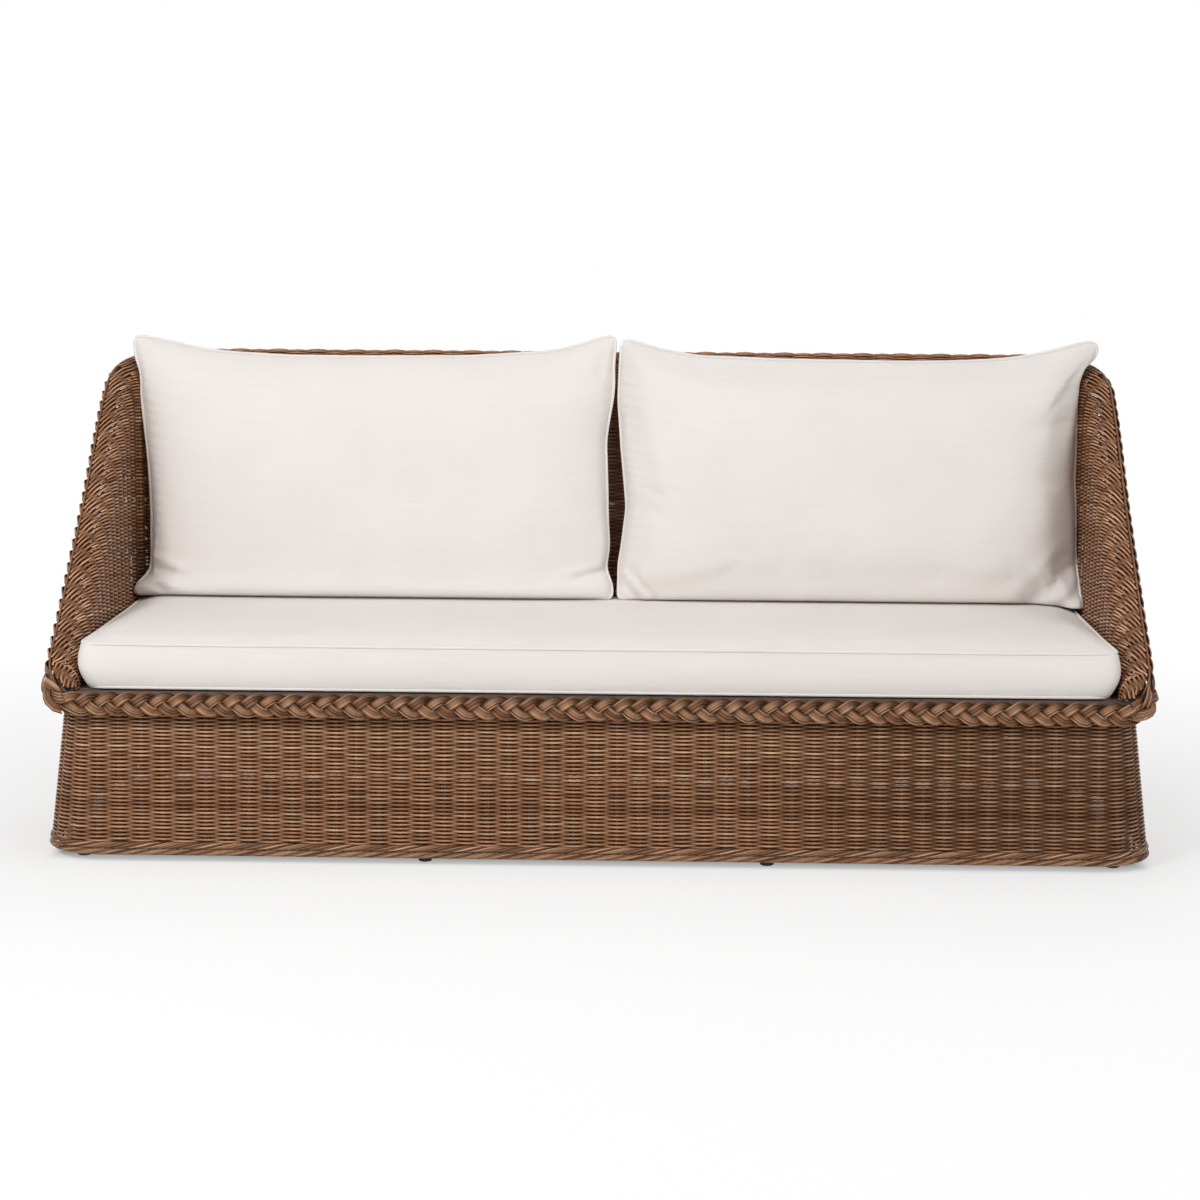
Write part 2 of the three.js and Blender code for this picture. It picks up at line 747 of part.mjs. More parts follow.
for (let i = 0; i < slatCount; i++) {
  const front = deckFrontY + i * slatPitch;
  const back = front + slatWidth;
  const outline = new THREE.Shape([
    new THREE.Vector2(front, slatBottom),
    new THREE.Vector2(back, slatBottom),
    new THREE.Vector2(back, deckHeight - slatEdge),
    new THREE.Vector2(back - slatEdge, deckHeight),
    new THREE.Vector2(front + slatEdge, deckHeight),
    new THREE.Vector2(front, deckHeight - slatEdge),
  ]);
  const half = slatHalfLength(front, back);
  const geometry = new THREE.ExtrudeGeometry(outline, { depth: 2 * half, bevelEnabled: false })
    .translate(0, 0, -half)
    .rotateY(quarterTurn)
    .rotateX(quarterTurn);
  add(`deck_slat_${i + 1}`, geometry, slatWood);
}

// The seat cushion: a boxed cushion with a crowned top, bellied sides and a welt at both seams

function cushionOutline(grow) {
  const halfWidth = seatHalfWidth - cushionFit + grow;
  const front = frontFaceY + seatCushionInset - grow;
  const back = wallBackY + backLeanShare * slatThickness - cushionFit + grow;
  const frontRadius = seatCushionCorner + grow;
  const rearRadius = backCornerRadius - cushionFit + grow;
  const steps = 5;
  const quarter = (x, y, radius, from) =>
    cornerArc(x, y, radius, from, from + quarterTurn, steps).map(({ point }) => point);
  return [
    ...quarter(halfWidth - frontRadius, front + frontRadius, frontRadius, -quarterTurn),
    ...quarter(halfWidth - rearRadius, back - rearRadius, rearRadius, 0),
    ...quarter(-halfWidth + rearRadius, back - rearRadius, rearRadius, quarterTurn),
    ...quarter(-halfWidth + frontRadius, front + frontRadius, frontRadius, 2 * quarterTurn),
  ];
}

function cushionLevel(grow, z) {
  return cushionOutline(grow).map((point) => point.clone().setZ(z));
}

function closedByFan(rings) {
  const points = rings.flat();
  const count = rings[0].length;
  const index = [];
  for (let ring = 0; ring < rings.length - 1; ring++) {
    for (let i = 0; i < count; i++) {
      const j = (i + 1) % count;
      const [a, b] = [ring * count, (ring + 1) * count];
      index.push(a + i, a + j, b + j, a + i, b + j, b + i);
    }
  }
  for (const ring of [rings[0], rings.at(-1)]) {
    const middle = ring.reduce((sum, p) => sum.add(p), new THREE.Vector3()).divideScalar(count);
    points.push(middle);
    const start = ring === rings[0] ? 0 : (rings.length - 1) * count;
    for (let i = 0; i < count; i++) {
      const [p, q] = [start + i, start + ((i + 1) % count)];
      if (ring === rings[0]) index.push(q, p, points.length - 1);
      else index.push(p, q, points.length - 1);
    }
  }
  if (signedVolume(points, index) < 0) index.reverse();
  const geometry = new THREE.BufferGeometry().setFromPoints(points);
  geometry.setIndex(index);
  geometry.computeVertexNormals();
  return geometry;
}

const cushionFloor = deckHeight + clearance;
const cushionSeam = cushionFloor + seatCushionThickness;
const crownShares = [0.25, 0.6, 1];
const bellyShares = [0.3, 0.5, 0.7];
const [bellyStartShare, bellyEndShare] = [0.1, 0.9];
const crownInset = 90;
const belly = (share) => -seatCushionSide * (1 - Math.sin(Math.PI * share));
const seatLevels = [
  cushionLevel(-seatCushionSide - 3 * weltRadius, cushionFloor),
  cushionLevel(-seatCushionSide, cushionFloor),
  cushionLevel(-seatCushionSide + weltRadius, cushionFloor + weltRadius),
  cushionLevel(belly(bellyStartShare), cushionFloor + 2 * weltRadius),
  ...bellyShares.map((share) => cushionLevel(belly(share), cushionFloor + seatCushionThickness * share)),
  cushionLevel(belly(bellyEndShare), cushionSeam - 2 * weltRadius),
  cushionLevel(-seatCushionSide + weltRadius, cushionSeam - weltRadius),
  cushionLevel(-seatCushionSide, cushionSeam),
  cushionLevel(-seatCushionSide - 2 * weltRadius, cushionSeam - weltRadius / 4),
  ...crownShares.map((share) =>
    cushionLevel(-crownInset * share, cushionSeam + seatCushionCrown * Math.sin(quarterTurn * share)),
  ),
];
add("seat_cushion", closedByFan(seatLevels), canvas);

// A back cushion: a knife-edged pillow with eared corners, leaning on the inner skin.
// Shares run from -1 to 1 across its width and up its height.

// Half the room between the arms at a point of the seat, less where the back corner turns in
function wallHalfWidthAt(y, z) {
  const { point } = wallPoint(armEnd, z, 0);
  const rise = Math.min(Math.max(y - point.y, 0), backCornerRadius);
  const turn = Math.asin(rise / backCornerRadius) / quarterTurn;
  const rollShare = 1 + (2 * (z - rimHeight(wayAt(armEnd + turn)))) / rollHeight;
  if (rollShare > 1) return Infinity;
  const rolled = (rollWidth / 2) * (1 - circleReach(1, Math.max(rollShare, 0)));
  return point.x - backCornerRadius + circleReach(backCornerRadius, rise) + rolled;
}

const pillowSteps = 12;
const pillowRows = 8;
const bottomDipShare = 0.25;
const weldDistance = 0.001;

function pillowPoint(across, up, side) {
  const halfW = backCushionWidth / 2;
  const halfH = backCushionHeight / 2;
  const ear = backCushionEar * Math.abs(across) ** 6 * Math.abs(up) ** 6;
  const drawX = backCushionDrawIn * (1 - up ** 2) * Math.abs(across) ** 3;
  const drawZ = backCushionTopDip * (1 - across ** 2) * Math.abs(up) ** 3;
  const x = Math.sign(across) * (Math.abs(across) * (halfW - backCushionEar) - drawX + ear);
  const dip = up > 0 ? drawZ : drawZ * bottomDipShare;
  const z = Math.sign(up) * (Math.abs(up) * (halfH - backCushionEar) - dip + ear);
  const full = (1 - Math.abs(across) ** 5) ** 0.6 * (1 - Math.abs(up) ** 5) ** 0.6;
  const depth = side * (backCushionDepth / 2) * full;
  return [x, depth, z];
}

function pillow(centreX) {
  const base = cushionSeam + seatCushionCrown + clearance;
  const wallAt = (z) => wallBackY + backLeanShare * (z - slatBottom) - clearance;
  const place = (across, up, side) => {
    const [x, depth, z] = pillowPoint(across, up, side);
    const height = base + backCushionHeight / 2 + z;
    const seamY = wallAt(base) - backCushionSeamIn + backCushionLeanShare * (height - base);
    const y = Math.min(seamY + depth, wallAt(height));
    const reach = wallHalfWidthAt(y, height) - cushionFit;
    return new THREE.Vector3(Math.min(Math.max(centreX + x, -reach), reach), y, height);
  };
  const share = (i, count) => -Math.cos((Math.PI * i) / count);
  const points = [];
  const index = [];
  const grid = (side) =>
    Array.from({ length: pillowRows + 1 }, (_, row) =>
      Array.from({ length: pillowSteps + 1 }, (_, column) => {
        const [across, up] = [share(column, pillowSteps), share(row, pillowRows)];
        points.push(place(across, up, side));
        return points.length - 1;
      }),
    );
  for (const side of [-1, 1]) {
    const ids = grid(side);
    for (let row = 0; row < pillowRows; row++) {
      for (let column = 0; column < pillowSteps; column++) {
        const [a, b] = [ids[row][column], ids[row][column + 1]];
        const [d, c] = [ids[row + 1][column], ids[row + 1][column + 1]];
        if (side < 0) index.push(a, b, c, a, c, d);
        else index.push(a, c, b, a, d, c);
      }
    }
  }
  const geometry = new THREE.BufferGeometry().setFromPoints(points);
  geometry.setIndex(index);
  const merged = mergeVertices(geometry, weldDistance);
  merged.computeVertexNormals();
  return merged;
}

add("back_cushion_right", pillow(backCushionPairShift + backCushionSpread), canvas);
add("back_cushion_left", pillow(backCushionPairShift - backCushionSpread), canvas);

export default sofa;
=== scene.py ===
# %% [markdown]
# # A woven garden sofa in rattan cane
#
# The sofa is a shell of woven cane on a frame of bent poles, with three loose cushions. The CAD
# model gives every piece its place, so this lesson only dresses it: the closed CAD shells give
# way to real strands that pass over and under their stakes, and the cushions become sewn,
# stuffed covers. The poles, legs and slats keep their CAD shapes and get a better finish.

import math

import bmesh
import bpy
import numpy as np
from mathutils import Matrix, Vector


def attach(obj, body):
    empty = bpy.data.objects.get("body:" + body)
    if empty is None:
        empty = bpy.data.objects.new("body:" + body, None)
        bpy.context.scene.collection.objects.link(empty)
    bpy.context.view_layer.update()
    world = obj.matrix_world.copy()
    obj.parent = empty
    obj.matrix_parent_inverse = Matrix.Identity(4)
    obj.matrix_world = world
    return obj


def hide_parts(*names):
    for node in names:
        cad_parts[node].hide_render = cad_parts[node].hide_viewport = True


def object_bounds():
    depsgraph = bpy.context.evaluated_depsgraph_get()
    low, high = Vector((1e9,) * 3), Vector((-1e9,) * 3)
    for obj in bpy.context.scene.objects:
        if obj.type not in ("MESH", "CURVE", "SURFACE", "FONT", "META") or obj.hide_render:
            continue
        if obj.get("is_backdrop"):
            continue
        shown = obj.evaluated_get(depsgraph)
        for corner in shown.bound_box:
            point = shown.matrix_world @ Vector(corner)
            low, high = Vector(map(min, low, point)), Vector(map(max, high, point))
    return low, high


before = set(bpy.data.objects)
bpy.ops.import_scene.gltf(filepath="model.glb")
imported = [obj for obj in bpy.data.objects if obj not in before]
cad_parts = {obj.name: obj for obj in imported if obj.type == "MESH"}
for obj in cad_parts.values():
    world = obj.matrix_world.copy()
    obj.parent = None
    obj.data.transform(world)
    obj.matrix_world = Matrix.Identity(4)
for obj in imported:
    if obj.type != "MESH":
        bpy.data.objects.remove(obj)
cad_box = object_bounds()
scene = bpy.context.scene
rng = np.random.default_rng(7)
HALF_TURN = math.pi
QUARTER_TURN = math.pi / 2
print("CAD box", [[round(v, 4) for v in corner] for corner in cad_box])


def put(name, data):
    """An object in the scene for a mesh, a curve, a lamp or the camera."""
    made = bpy.data.objects.new(name, data)
    scene.collection.objects.link(made)
    return made



# %% [markdown]
# ## The camera
#
# The photograph was taken from the front with a long lens, a little above the rim and a little
# off centre. The camera is built from its three axes, because that keeps the small turn and roll
# easy to read: a level view is turned, then tipped down, then rolled.

# %% Place the camera
camera_spot = Vector((0.1278, -5.3234, 1.2544))
camera_turn, camera_tip, camera_roll = map(math.radians, (1.4293, 8.482, 0.3597))
photo_focal_share = 2575 / 1200

level_right = Vector((math.cos(camera_turn), math.sin(camera_turn), 0))
level_ahead = Vector((-math.sin(camera_turn), math.cos(camera_turn), 0))
ahead = level_ahead * math.cos(camera_tip) - Vector((0, 0, 1)) * math.sin(camera_tip)
tipped_up = level_ahead * math.sin(camera_tip) + Vector((0, 0, 1)) * math.cos(camera_tip)
right = level_right * math.cos(camera_roll) + tipped_up * math.sin(camera_roll)
up = tipped_up * math.cos(camera_roll) - level_right * math.sin(camera_roll)

camera_data = bpy.data.cameras.new("camera")
camera_data.sensor_width = 36
camera_data.lens = photo_focal_share * camera_data.sensor_width
camera_data.clip_end = 50
scene.camera = put("camera", camera_data)
axes = Matrix((right, up, -ahead)).transposed().to_4x4()
scene.camera.matrix_world = Matrix.Translation(camera_spot) @ axes
print("lens", round(camera_data.lens, 2), "mm")

# %% [markdown]
# ## Floor and light
#
# A plain pale floor and soft light from large lamps, at a level where a colour renders about as
# it is written. The sky seen by the camera is white, while the sky that lights the sofa is softer,
# so the background stays bright without washing out the canvas. The floor is helped the same way
# by a glow that only the camera sees. It stops short of the sofa's footprint, because it would
# shine through the gaps of the weave.

# %% A finish made from nodes
def feed(target, inputs):
    """Give a node its inputs, each a value, an output or a node whose first output is meant."""
    for key, value in inputs.items():
        if isinstance(value, bpy.types.Node):
            value = value.outputs[0]
        if isinstance(value, bpy.types.NodeSocket):
            target.id_data.links.new(value, target.inputs[key])
        else:
            target.inputs[key].default_value = value


def node_maker(tree):
    """A helper that adds a node to a tree, with its settings and its inputs."""
    def node(kind, inputs=None, **settings):
        made = tree.nodes.new("ShaderNode" + kind)
        for key, value in settings.items():
            setattr(made, key, value)
        feed(made, inputs or {})
        return made

    return node


def new_finish(name):
    """A new material with its shader and its node helper."""
    finish = bpy.data.materials.new(name)
    finish.use_nodes = True
    tree = finish.node_tree
    return finish, tree.nodes["Principled BSDF"], node_maker(tree)


def seen_rays(node):
    """1 for a ray from the camera, also when it is mirrored or passes through something."""
    rays = node("LightPath")
    seen = rays.outputs["Is Camera Ray"]
    for kind in ("Is Glossy Ray", "Is Transmission Ray"):
        seen = node("Math", {0: seen, 1: rays.outputs[kind]}, operation="MAXIMUM")
    return seen


def ramp(node, source, stops):
    """A colour ramp over a 0 to 1 value. Stops are (place, colour)."""
    made = node("ValToRGB", {"Fac": source})
    elements = made.color_ramp.elements
    while len(elements) < len(stops):
        elements.new(0.5)
    for element, (place, colour) in zip(elements, stops):
        element.position = place
        element.color = (*colour, 1)
    return made


# %% Floor, sky and lamps
floor_reach = 12
floor_mesh = bpy.data.meshes.new("floor")
form = bmesh.new()
bmesh.ops.create_grid(form, x_segments=1, y_segments=1, size=floor_reach)
form.to_mesh(floor_mesh)
form.free()
put("floor", floor_mesh)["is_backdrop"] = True

floor_finish, shader, node = new_finish("pale_floor")
feed(shader, {"Base Color": (0.9, 0.9, 0.895, 1), "Roughness": 0.9})
place = node("TexCoord")
away = node("VectorMath", {0: place.outputs["Object"]}, operation="LENGTH")
glow_from, glow_full, glow_near = 1.2, 2.5, 0.58
paper = node("MapRange", {"Value": away.outputs["Value"], 1: glow_from, 2: glow_full, 3: glow_near})
paper = node("Math", {0: paper, 1: seen_rays(node)}, operation="MULTIPLY")
footprint = (("X", 1.04, 1.085), ("X", -1.04, -1.085), ("Y", 0.278, 0.323), ("Y", -0.322, -0.442))
sides = node("SeparateXYZ", {"Vector": place.outputs["Object"]})
beyond = 0.0
for axis, start, end in footprint:
    past = node("MapRange", {"Value": sides.outputs[axis], 1: start, 2: end})
    beyond = node("Math", {0: beyond, 1: past}, operation="MAXIMUM")
paper = node("Math", {0: paper, 1: beyond}, operation="MULTIPLY")
blend = node("MixShader", {"Fac": paper, 1: shader, 2: node("Emission")})
feed(floor_finish.node_tree.nodes["Material Output"], {"Surface": blend})
floor_mesh.materials.append(floor_finish)

world = bpy.data.worlds.new("sky")
scene.world = world
world.use_nodes = True
sky = world.node_tree
node = node_maker(sky)
sky_light, sky_seen = 0.36, 1.0
strength = node("Mix", {"Factor": seen_rays(node), "A": sky_light, "B": sky_seen})
feed(sky.nodes["Background"], {"Color": (1, 1, 1, 1), "Strength": strength})


def soft_lamp(name, spot, aim, size, power):
    """A square lamp at a spot, turned to aim at a point."""
    lamp = bpy.data.lights.new(name, "AREA")
    lamp.shape = "SQUARE"
    lamp.size = size
    lamp.energy = power
    holder = put(name, lamp)
    holder.location = spot
    holder.rotation_euler = (Vector(aim) - Vector(spot)).to_track_quat("-Z", "Y").to_euler()


soft_lamp("key_lamp", (-2.4, -3.6, 3.0), (0, 0, 0.5), 1.3, 110)
soft_lamp("fill_lamp", (3.2, -3.4, 2.0), (0, 0, 0.5), 2.0, 48)
soft_lamp("top_lamp", (0, -0.4, 3.6), (0, 0, 0.4), 2.4, 27)
soft_lamp("back_lamp", (0.5, 3.4, 3.2), (0, 0, 0.6), 2.0, 45)

scene.view_settings.view_transform = "Standard"

# %% [markdown]
# ## Finishes
#
# The cane is smoked rattan: brown, glossy along its skin, with each strand a little lighter or
# darker than the next. Every strand carries an attribute called cane: its length so far, its own
# tone and a number that is different for each strand. The grain follows that attribute, so it
# runs along the strand wherever the strand goes. A second attribute says how exposed a place is,
# and the colour is darkened by it: painted shade, dark where one cane lies behind another and on
# the sides of each cane, and light where a cane stands proud.

# %% Cane finishes
def cane_finish(name, dark, middle, light, gloss, painted_shade):
    """Rattan cane. The three colours are those of its darkest, usual and lightest strands.

    The last argument has the shares of the colour left where a strand is hidden, and on its
    sides: this darkening is painted shade, and the specular level follows it.
    """
    finish, shader, node = new_finish(name)
    cane = node("Attribute", attribute_name="cane")
    parts = node("SeparateXYZ", {"Vector": cane.outputs["Vector"]})
    along, tone, own = (parts.outputs[axis] for axis in "XYZ")
    stretched = node("CombineXYZ", {"X": along, "Y": own, "Z": tone})
    patches = node("TexNoise", {"Vector": stretched, "Scale": 7.0, "Detail": 3.0})
    mottle = node("Math", {0: patches, 1: 0.62}, operation="MULTIPLY")
    shade = node("Math", {0: mottle, 1: tone}, operation="ADD")
    centred = node("Math", {0: shade, 1: 0.31}, operation="SUBTRACT")
    colour = ramp(node, centred, [(0.0, dark), (0.5, middle), (1.0, light)])
    # Painted shade: the colour is darker where a cane is hidden or turns its side away.
    painted_light_share = node("Attribute", attribute_name="painted_light_share")
    stops = [(place, (share,) * 3) for place, share in zip((0.0, 0.5, 0.88), (*painted_shade, 1))]
    light_kept = ramp(node, painted_light_share.outputs["Fac"], stops)
    darkened = node("MixRGB", {"Fac": 1.0, "Color1": colour, "Color2": light_kept}, blend_type="MULTIPLY")
    gleam = node("Math", {0: light_kept, 1: 0.32}, operation="MULTIPLY")
    place = node("TexCoord")
    fibres = node("TexNoise", {"Vector": place.outputs["Object"], "Scale": 900.0, "Detail": 2.0})
    rough = node("MapRange", {"Value": fibres, 3: gloss - 0.1, 4: gloss + 0.14})
    bump = node("Bump", {"Height": fibres, "Strength": 0.22, "Distance": 0.0004})
    feed(shader, {"Base Color": darkened, "Specular IOR Level": gleam, "Roughness": rough,
                  "Normal": bump})
    return finish


weaver_cane = cane_finish(
    "weaver_cane", (0.12, 0.042, 0.014), (0.42, 0.19, 0.088), (0.80, 0.50, 0.30), 0.42, (0.04, 0.24)
)
stake_cane = cane_finish(
    "stake_cane", (0.2, 0.11, 0.07), (0.45, 0.29, 0.20), (0.66, 0.48, 0.36), 0.45, (0.04, 0.24)
)
border_cane = cane_finish(
    "border_cane", (0.08, 0.028, 0.01), (0.27, 0.122, 0.056), (0.60, 0.35, 0.20), 0.36, (0.08, 0.30)
)


# %% Pole, slat and glider finishes
def wood_finish(name, dark, light, stretch, gloss):
    """Wood or pole, with its grain stretched along one axis of the piece."""
    finish, shader, node = new_finish(name)
    place = node("TexCoord")
    scaled = node("Mapping", {"Vector": place.outputs["Object"], "Scale": stretch})
    grain = node("TexNoise", {"Vector": scaled, "Scale": 6.0, "Detail": 8.0})
    colour = ramp(node, grain, [(0.3, dark), (0.7, light)])
    bump = node("Bump", {"Height": grain, "Strength": 0.25, "Distance": 0.0006})
    feed(shader, {"Base Color": colour, "Roughness": gloss, "Normal": bump})
    return finish


along_pole = (14.0, 14.0, 14.0)
along_slat = (1.2, 22.0, 22.0)
# The poles are very dark: painted shade for the seat cushion's shadow on the front rim pole. The
# legs and all other poles take the same finish.
pole_shade_finish = wood_finish("rattan_pole_painted_shade", (0.03, 0.015, 0.009), (0.08, 0.038, 0.02), along_pole, 0.5)
slat_finish = wood_finish("dark_slat", (0.03, 0.018, 0.012), (0.085, 0.05, 0.03), along_slat, 0.6)

glider_finish, shader, node = new_finish("dark_glider")
place = node("TexCoord")
specks = node("TexNoise", {"Vector": place.outputs["Object"], "Scale": 420.0})
stops = [(0.3, (0.009, 0.008, 0.008)), (0.8, (0.02, 0.018, 0.017))]
feed(shader, {"Base Color": ramp(node, specks, stops), "Roughness": 0.55})

for name, cad_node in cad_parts.items():
    if name.startswith("glider"):
        finish = glider_finish
    elif name.startswith("deck_slat"):
        finish = slat_finish
    else:
        finish = pole_shade_finish
    cad_node.data.materials.clear()
    cad_node.data.materials.append(finish)


# %% [markdown]
# ## Strands
#
# A cane is a long thin tube that bends all the time, so a curve with a round bevel makes it best:
# one curve object holds hundreds of strands, and turning it into a mesh gives the tubes. Each
# strand's end is closed by one more point whose radius is nothing. The tube has a ring of six
# points for each point of its path, which is how the attributes find their places.

# %% Turn paths into tubes
RING = 6
END_DEPTH = 0.0003


def unit(vectors):
    return vectors / np.linalg.norm(vectors, axis=-1, keepdims=True)


def lengths(path):
    """Distance along a path at each of its points."""
    return np.concatenate([[0], np.cumsum(np.linalg.norm(np.diff(path, axis=0), axis=1))])


def round_curve(name, radius, resolution):
    curve = bpy.data.curves.new(name, "CURVE")
    curve.dimensions = "3D"
    curve.bevel_depth = radius
    curve.bevel_resolution = resolution
    return curve


def add_spline(curve, points):
    spline = curve.splines.new("POLY")
    spline.points.add(len(points) - 1)
    spline.points.foreach_set("co", np.column_stack([points, np.ones(len(points))]).ravel())
    return spline


def curve_mesh(curve):
    """The mesh that a curve draws. The curve itself is removed."""
    name = curve.name
    holder = put(name + "_path", curve)
    depsgraph = bpy.context.evaluated_depsgraph_get()
    mesh = bpy.data.meshes.new_from_object(holder.evaluated_get(depsgraph))
    bpy.data.objects.remove(holder)
    bpy.data.curves.remove(curve)
    mesh.name = name
    return mesh


def set_vectors(mesh, name, values):
    mesh.attributes.new(name, "FLOAT_VECTOR", "POINT").data.foreach_set("vector", values.ravel())


def read_vectors(rows, field):
    values = np.empty(len(rows) * 3)
    rows.foreach_get(field, values)
    return values.reshape(-1, 3)


def put_piece(mesh, finish, body):
    """A smooth object for a mesh, with its finish and the body it rides on."""
    mesh.shade_smooth()
    mesh.materials.clear()
    mesh.materials.append(finish)
    piece = put(mesh.name, mesh)
    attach(piece, body)
    return piece


def cane_piece(name, paths, radius, finish, tones=None, faces=None, girths=None,
               painted_lift=None):
    """One object with a tube along each path. Paths are arrays of points in metres.

    faces has a vector for each point: the way it faces, as long as it is proud, up to 1. A
    point turned away from it gets painted shade, and without faces a strand gets the painted
    shade of a cane's side all along. girths has its share of the radius, and the last argument
    how far the painted shade is lifted all round.
    """
    def capped(values):
        return np.concatenate([values[:1], values[:1], values[1:-1], values[-1:], values[-1:]])

    curve = round_curve(name, radius, 1)
    details, centres, outward, lifted = [], [], [], []
    for number, path in enumerate(paths):
        steps = np.linalg.norm(np.diff(path, axis=0), axis=1)
        inward = (path[1] - path[0]) / steps[0], (path[-2] - path[-1]) / steps[-1]
        ends = path[0] + inward[0] * END_DEPTH, path[-1] + inward[1] * END_DEPTH
        points = np.vstack([path[:1], ends[0], path[1:-1], ends[1], path[-1:]])
        widths = np.ones(len(points)) if girths is None else capped(girths[number])
        widths[[0, -1]] = 0
        add_spline(curve, points).points.foreach_set("radius", widths)
        centres.append(points)
        outward.append(capped(np.zeros_like(path) if faces is None else faces[number]))
        lifted.append(capped(np.zeros(len(path)) if painted_lift is None else painted_lift[number]))
        tone = 0.5 + 0.13 * rng.standard_normal() if tones is None else tones[number]
        same = np.tile((tone, rng.uniform(0, 100)), (len(points), 1))
        details.append(np.column_stack([lengths(points), same]))
    mesh = curve_mesh(curve)
    details, centres, outward = (
        np.repeat(np.vstack(rows), RING, axis=0) for rows in (details, centres, outward)
    )
    set_vectors(mesh, "cane", details)
    # Painted shade: a point is darker the further it faces away from the way its cane is proud.
    lean = (read_vectors(mesh.vertices, "co") - centres) / radius
    painted_light_share = 0.5 + 0.5 * (lean * outward).sum(axis=1)
    painted_light_share = np.maximum(painted_light_share, np.repeat(np.concatenate(lifted), RING))
    mesh.attributes.new("painted_light_share", "FLOAT", "POINT").data.foreach_set("value", painted_light_share)
    print(name, len(paths), "strands", 2 * len(mesh.polygons), "triangles")
    return put_piece(mesh, finish, "frame")


# %% [markdown]
# ## The woven skirt
#
# The skirt is plain randing. Pairs of thin stakes stand about 42 mm apart round the base, and
# each weaver passes in front of one pair and behind the next, while the weaver above does the
# opposite. So a row is a wave that is out of step with its neighbours: one formula gives them
# all. Each row gets painted shade where it goes behind a stake and on its sides, and its sides
# are painted lighter where it crosses between stakes. A little unevenness from row to row keeps
# it from looking stamped, and the right end is darker.

# %% The plan of the skirt
deck_z = 0.340
flare_top, skirt_top, glider_top = 0.300, 0.326, 0.014
border_top = 0.040
skirt_flare, front_flare = 0.037, 0.020
waist_half, waist_front, waist_back = 1.051328, -0.428, 0.28665
front_radius, rear_radius = 0.080, 0.168
weave_depth = 0.0036


def skirt_corners(z):
    """Centres and radii of the skirt's front and rear corners at each height."""
    flared = np.maximum(0, (flare_top - z) / (flare_top - glider_top))
    grown = skirt_flare * flared
    front_r, rear_r = front_radius + grown, rear_radius + grown
    front = waist_half + grown - front_r, waist_front - front_flare * flared + front_r, front_r
    rear = waist_half + grown - rear_r, waist_back + grown - rear_r, rear_r
    return front, rear


# Stakes on each straight and each corner, from the front's left end round to the right
skirt_runs = [46, 4, 11, 7, 42, 7, 11, 4]
skirt_ends = np.concatenate([[0], np.cumsum(skirt_runs)])
skirt_count = int(skirt_ends[-1])


def skirt_point(c, z, grow):
    """Point and outward direction at stake number c, height z and distance outside the skirt."""
    c = np.mod(c, skirt_count) + 0 * z
    z = z + 0 * c
    (fx, fy, fr), (rx, ry, rr) = skirt_corners(z)
    run = np.clip(np.searchsorted(skirt_ends, c, side="right") - 1, 0, 7)
    t = (c - skirt_ends[run]) / np.array(skirt_runs)[run]
    angle = (np.array([-1, -1, 0, 0, 1, 1, 2, 2])[run] + t * (run % 2)) * QUARTER_TURN
    out = np.stack([np.cos(angle), np.sin(angle), 0 * angle], -1)
    starts = [(-fx, fy, fr), (fx, fy, fr), (fx, fy, fr), (rx, ry, rr), (rx, ry, rr),
              (-rx, ry, rr), (-rx, ry, rr), (-fx, fy, fr)]
    x, y, radius = [
        np.choose(run, v) + (np.choose(run, v[1:] + v[:1]) - np.choose(run, v)) * t
        for v in zip(*starts)
    ]
    return np.stack([x, y, z], -1) + out * (radius + grow)[..., None], out


# %% Weave the skirt
row_pitch = 0.0038
weaver_radius = 0.00212
stake_radius = 0.00145
stake_half_gap = 0.0021
weave_swing = 0.0027
skirt_rows = np.arange(border_top + 0.002, skirt_top, row_pitch)
row_steps = 4
row_shift = 0.0006
side_lift = 0.66
darker_share, darker_edge, darker_from, darker_to = 0.36, 14, 28, 70


def skirt_row(number, z, start, end):
    """One weaver from stake start to stake end."""
    c = np.arange(start * row_steps, end * row_steps + 1) / row_steps
    sway = row_shift * (np.sin(c * 0.9 + number * 0.11) + np.sin(c * 0.23 + number * 0.17))
    swing = np.cos(HALF_TURN * (c + number))
    points, out = skirt_point(c, z + sway, weave_swing * swing - weave_depth)
    # The right end of the skirt is darker: less of the painted light is kept there.
    darkened = np.clip((c - darker_from) / darker_edge, 0, 1)
    light_kept = 1 - darker_share * darkened * np.clip((darker_to - c) / darker_edge, 0, 1)
    # Painted shade: darker where the row goes behind a stake, its sides lighter where it crosses.
    return points, out * (light_kept * swing)[:, None], side_lift * light_kept * (1 - swing**2)


def skirt_stakes(start, end):
    """Both canes of each pair of stakes, from the top down."""
    paths = []
    heights = np.linspace(skirt_top, border_top - 0.006, 9)
    for c in range(start, end):
        for side in (-1, 1):
            point, out = skirt_point(np.full(9, float(c)), heights, -weave_depth)
            sideways = np.stack([-out[:, 1], out[:, 0], out[:, 2]], -1)
            paths.append(point + sideways * side * stake_half_gap)
    return paths


skirt_cuts = [("front", -2, 48), ("right", 48, 64), ("back", 64, 113), ("left", 113, 130)]
row_tones = 0.57 + 0.14 * rng.standard_normal(len(skirt_rows))
for side, start, end in skirt_cuts:
    rows = [skirt_row(i, z, start, end) for i, z in enumerate(skirt_rows)]
    paths, faces, painted_lift = zip(*rows)
    weave = cane_piece("skirt_rows_" + side, paths, 1.07 * weaver_radius, weaver_cane,
                       tones=row_tones, faces=faces, painted_lift=painted_lift)
    cane_piece("skirt_stakes_" + side, skirt_stakes(start, end), stake_radius, stake_cane)
    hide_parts("skirt_weave")

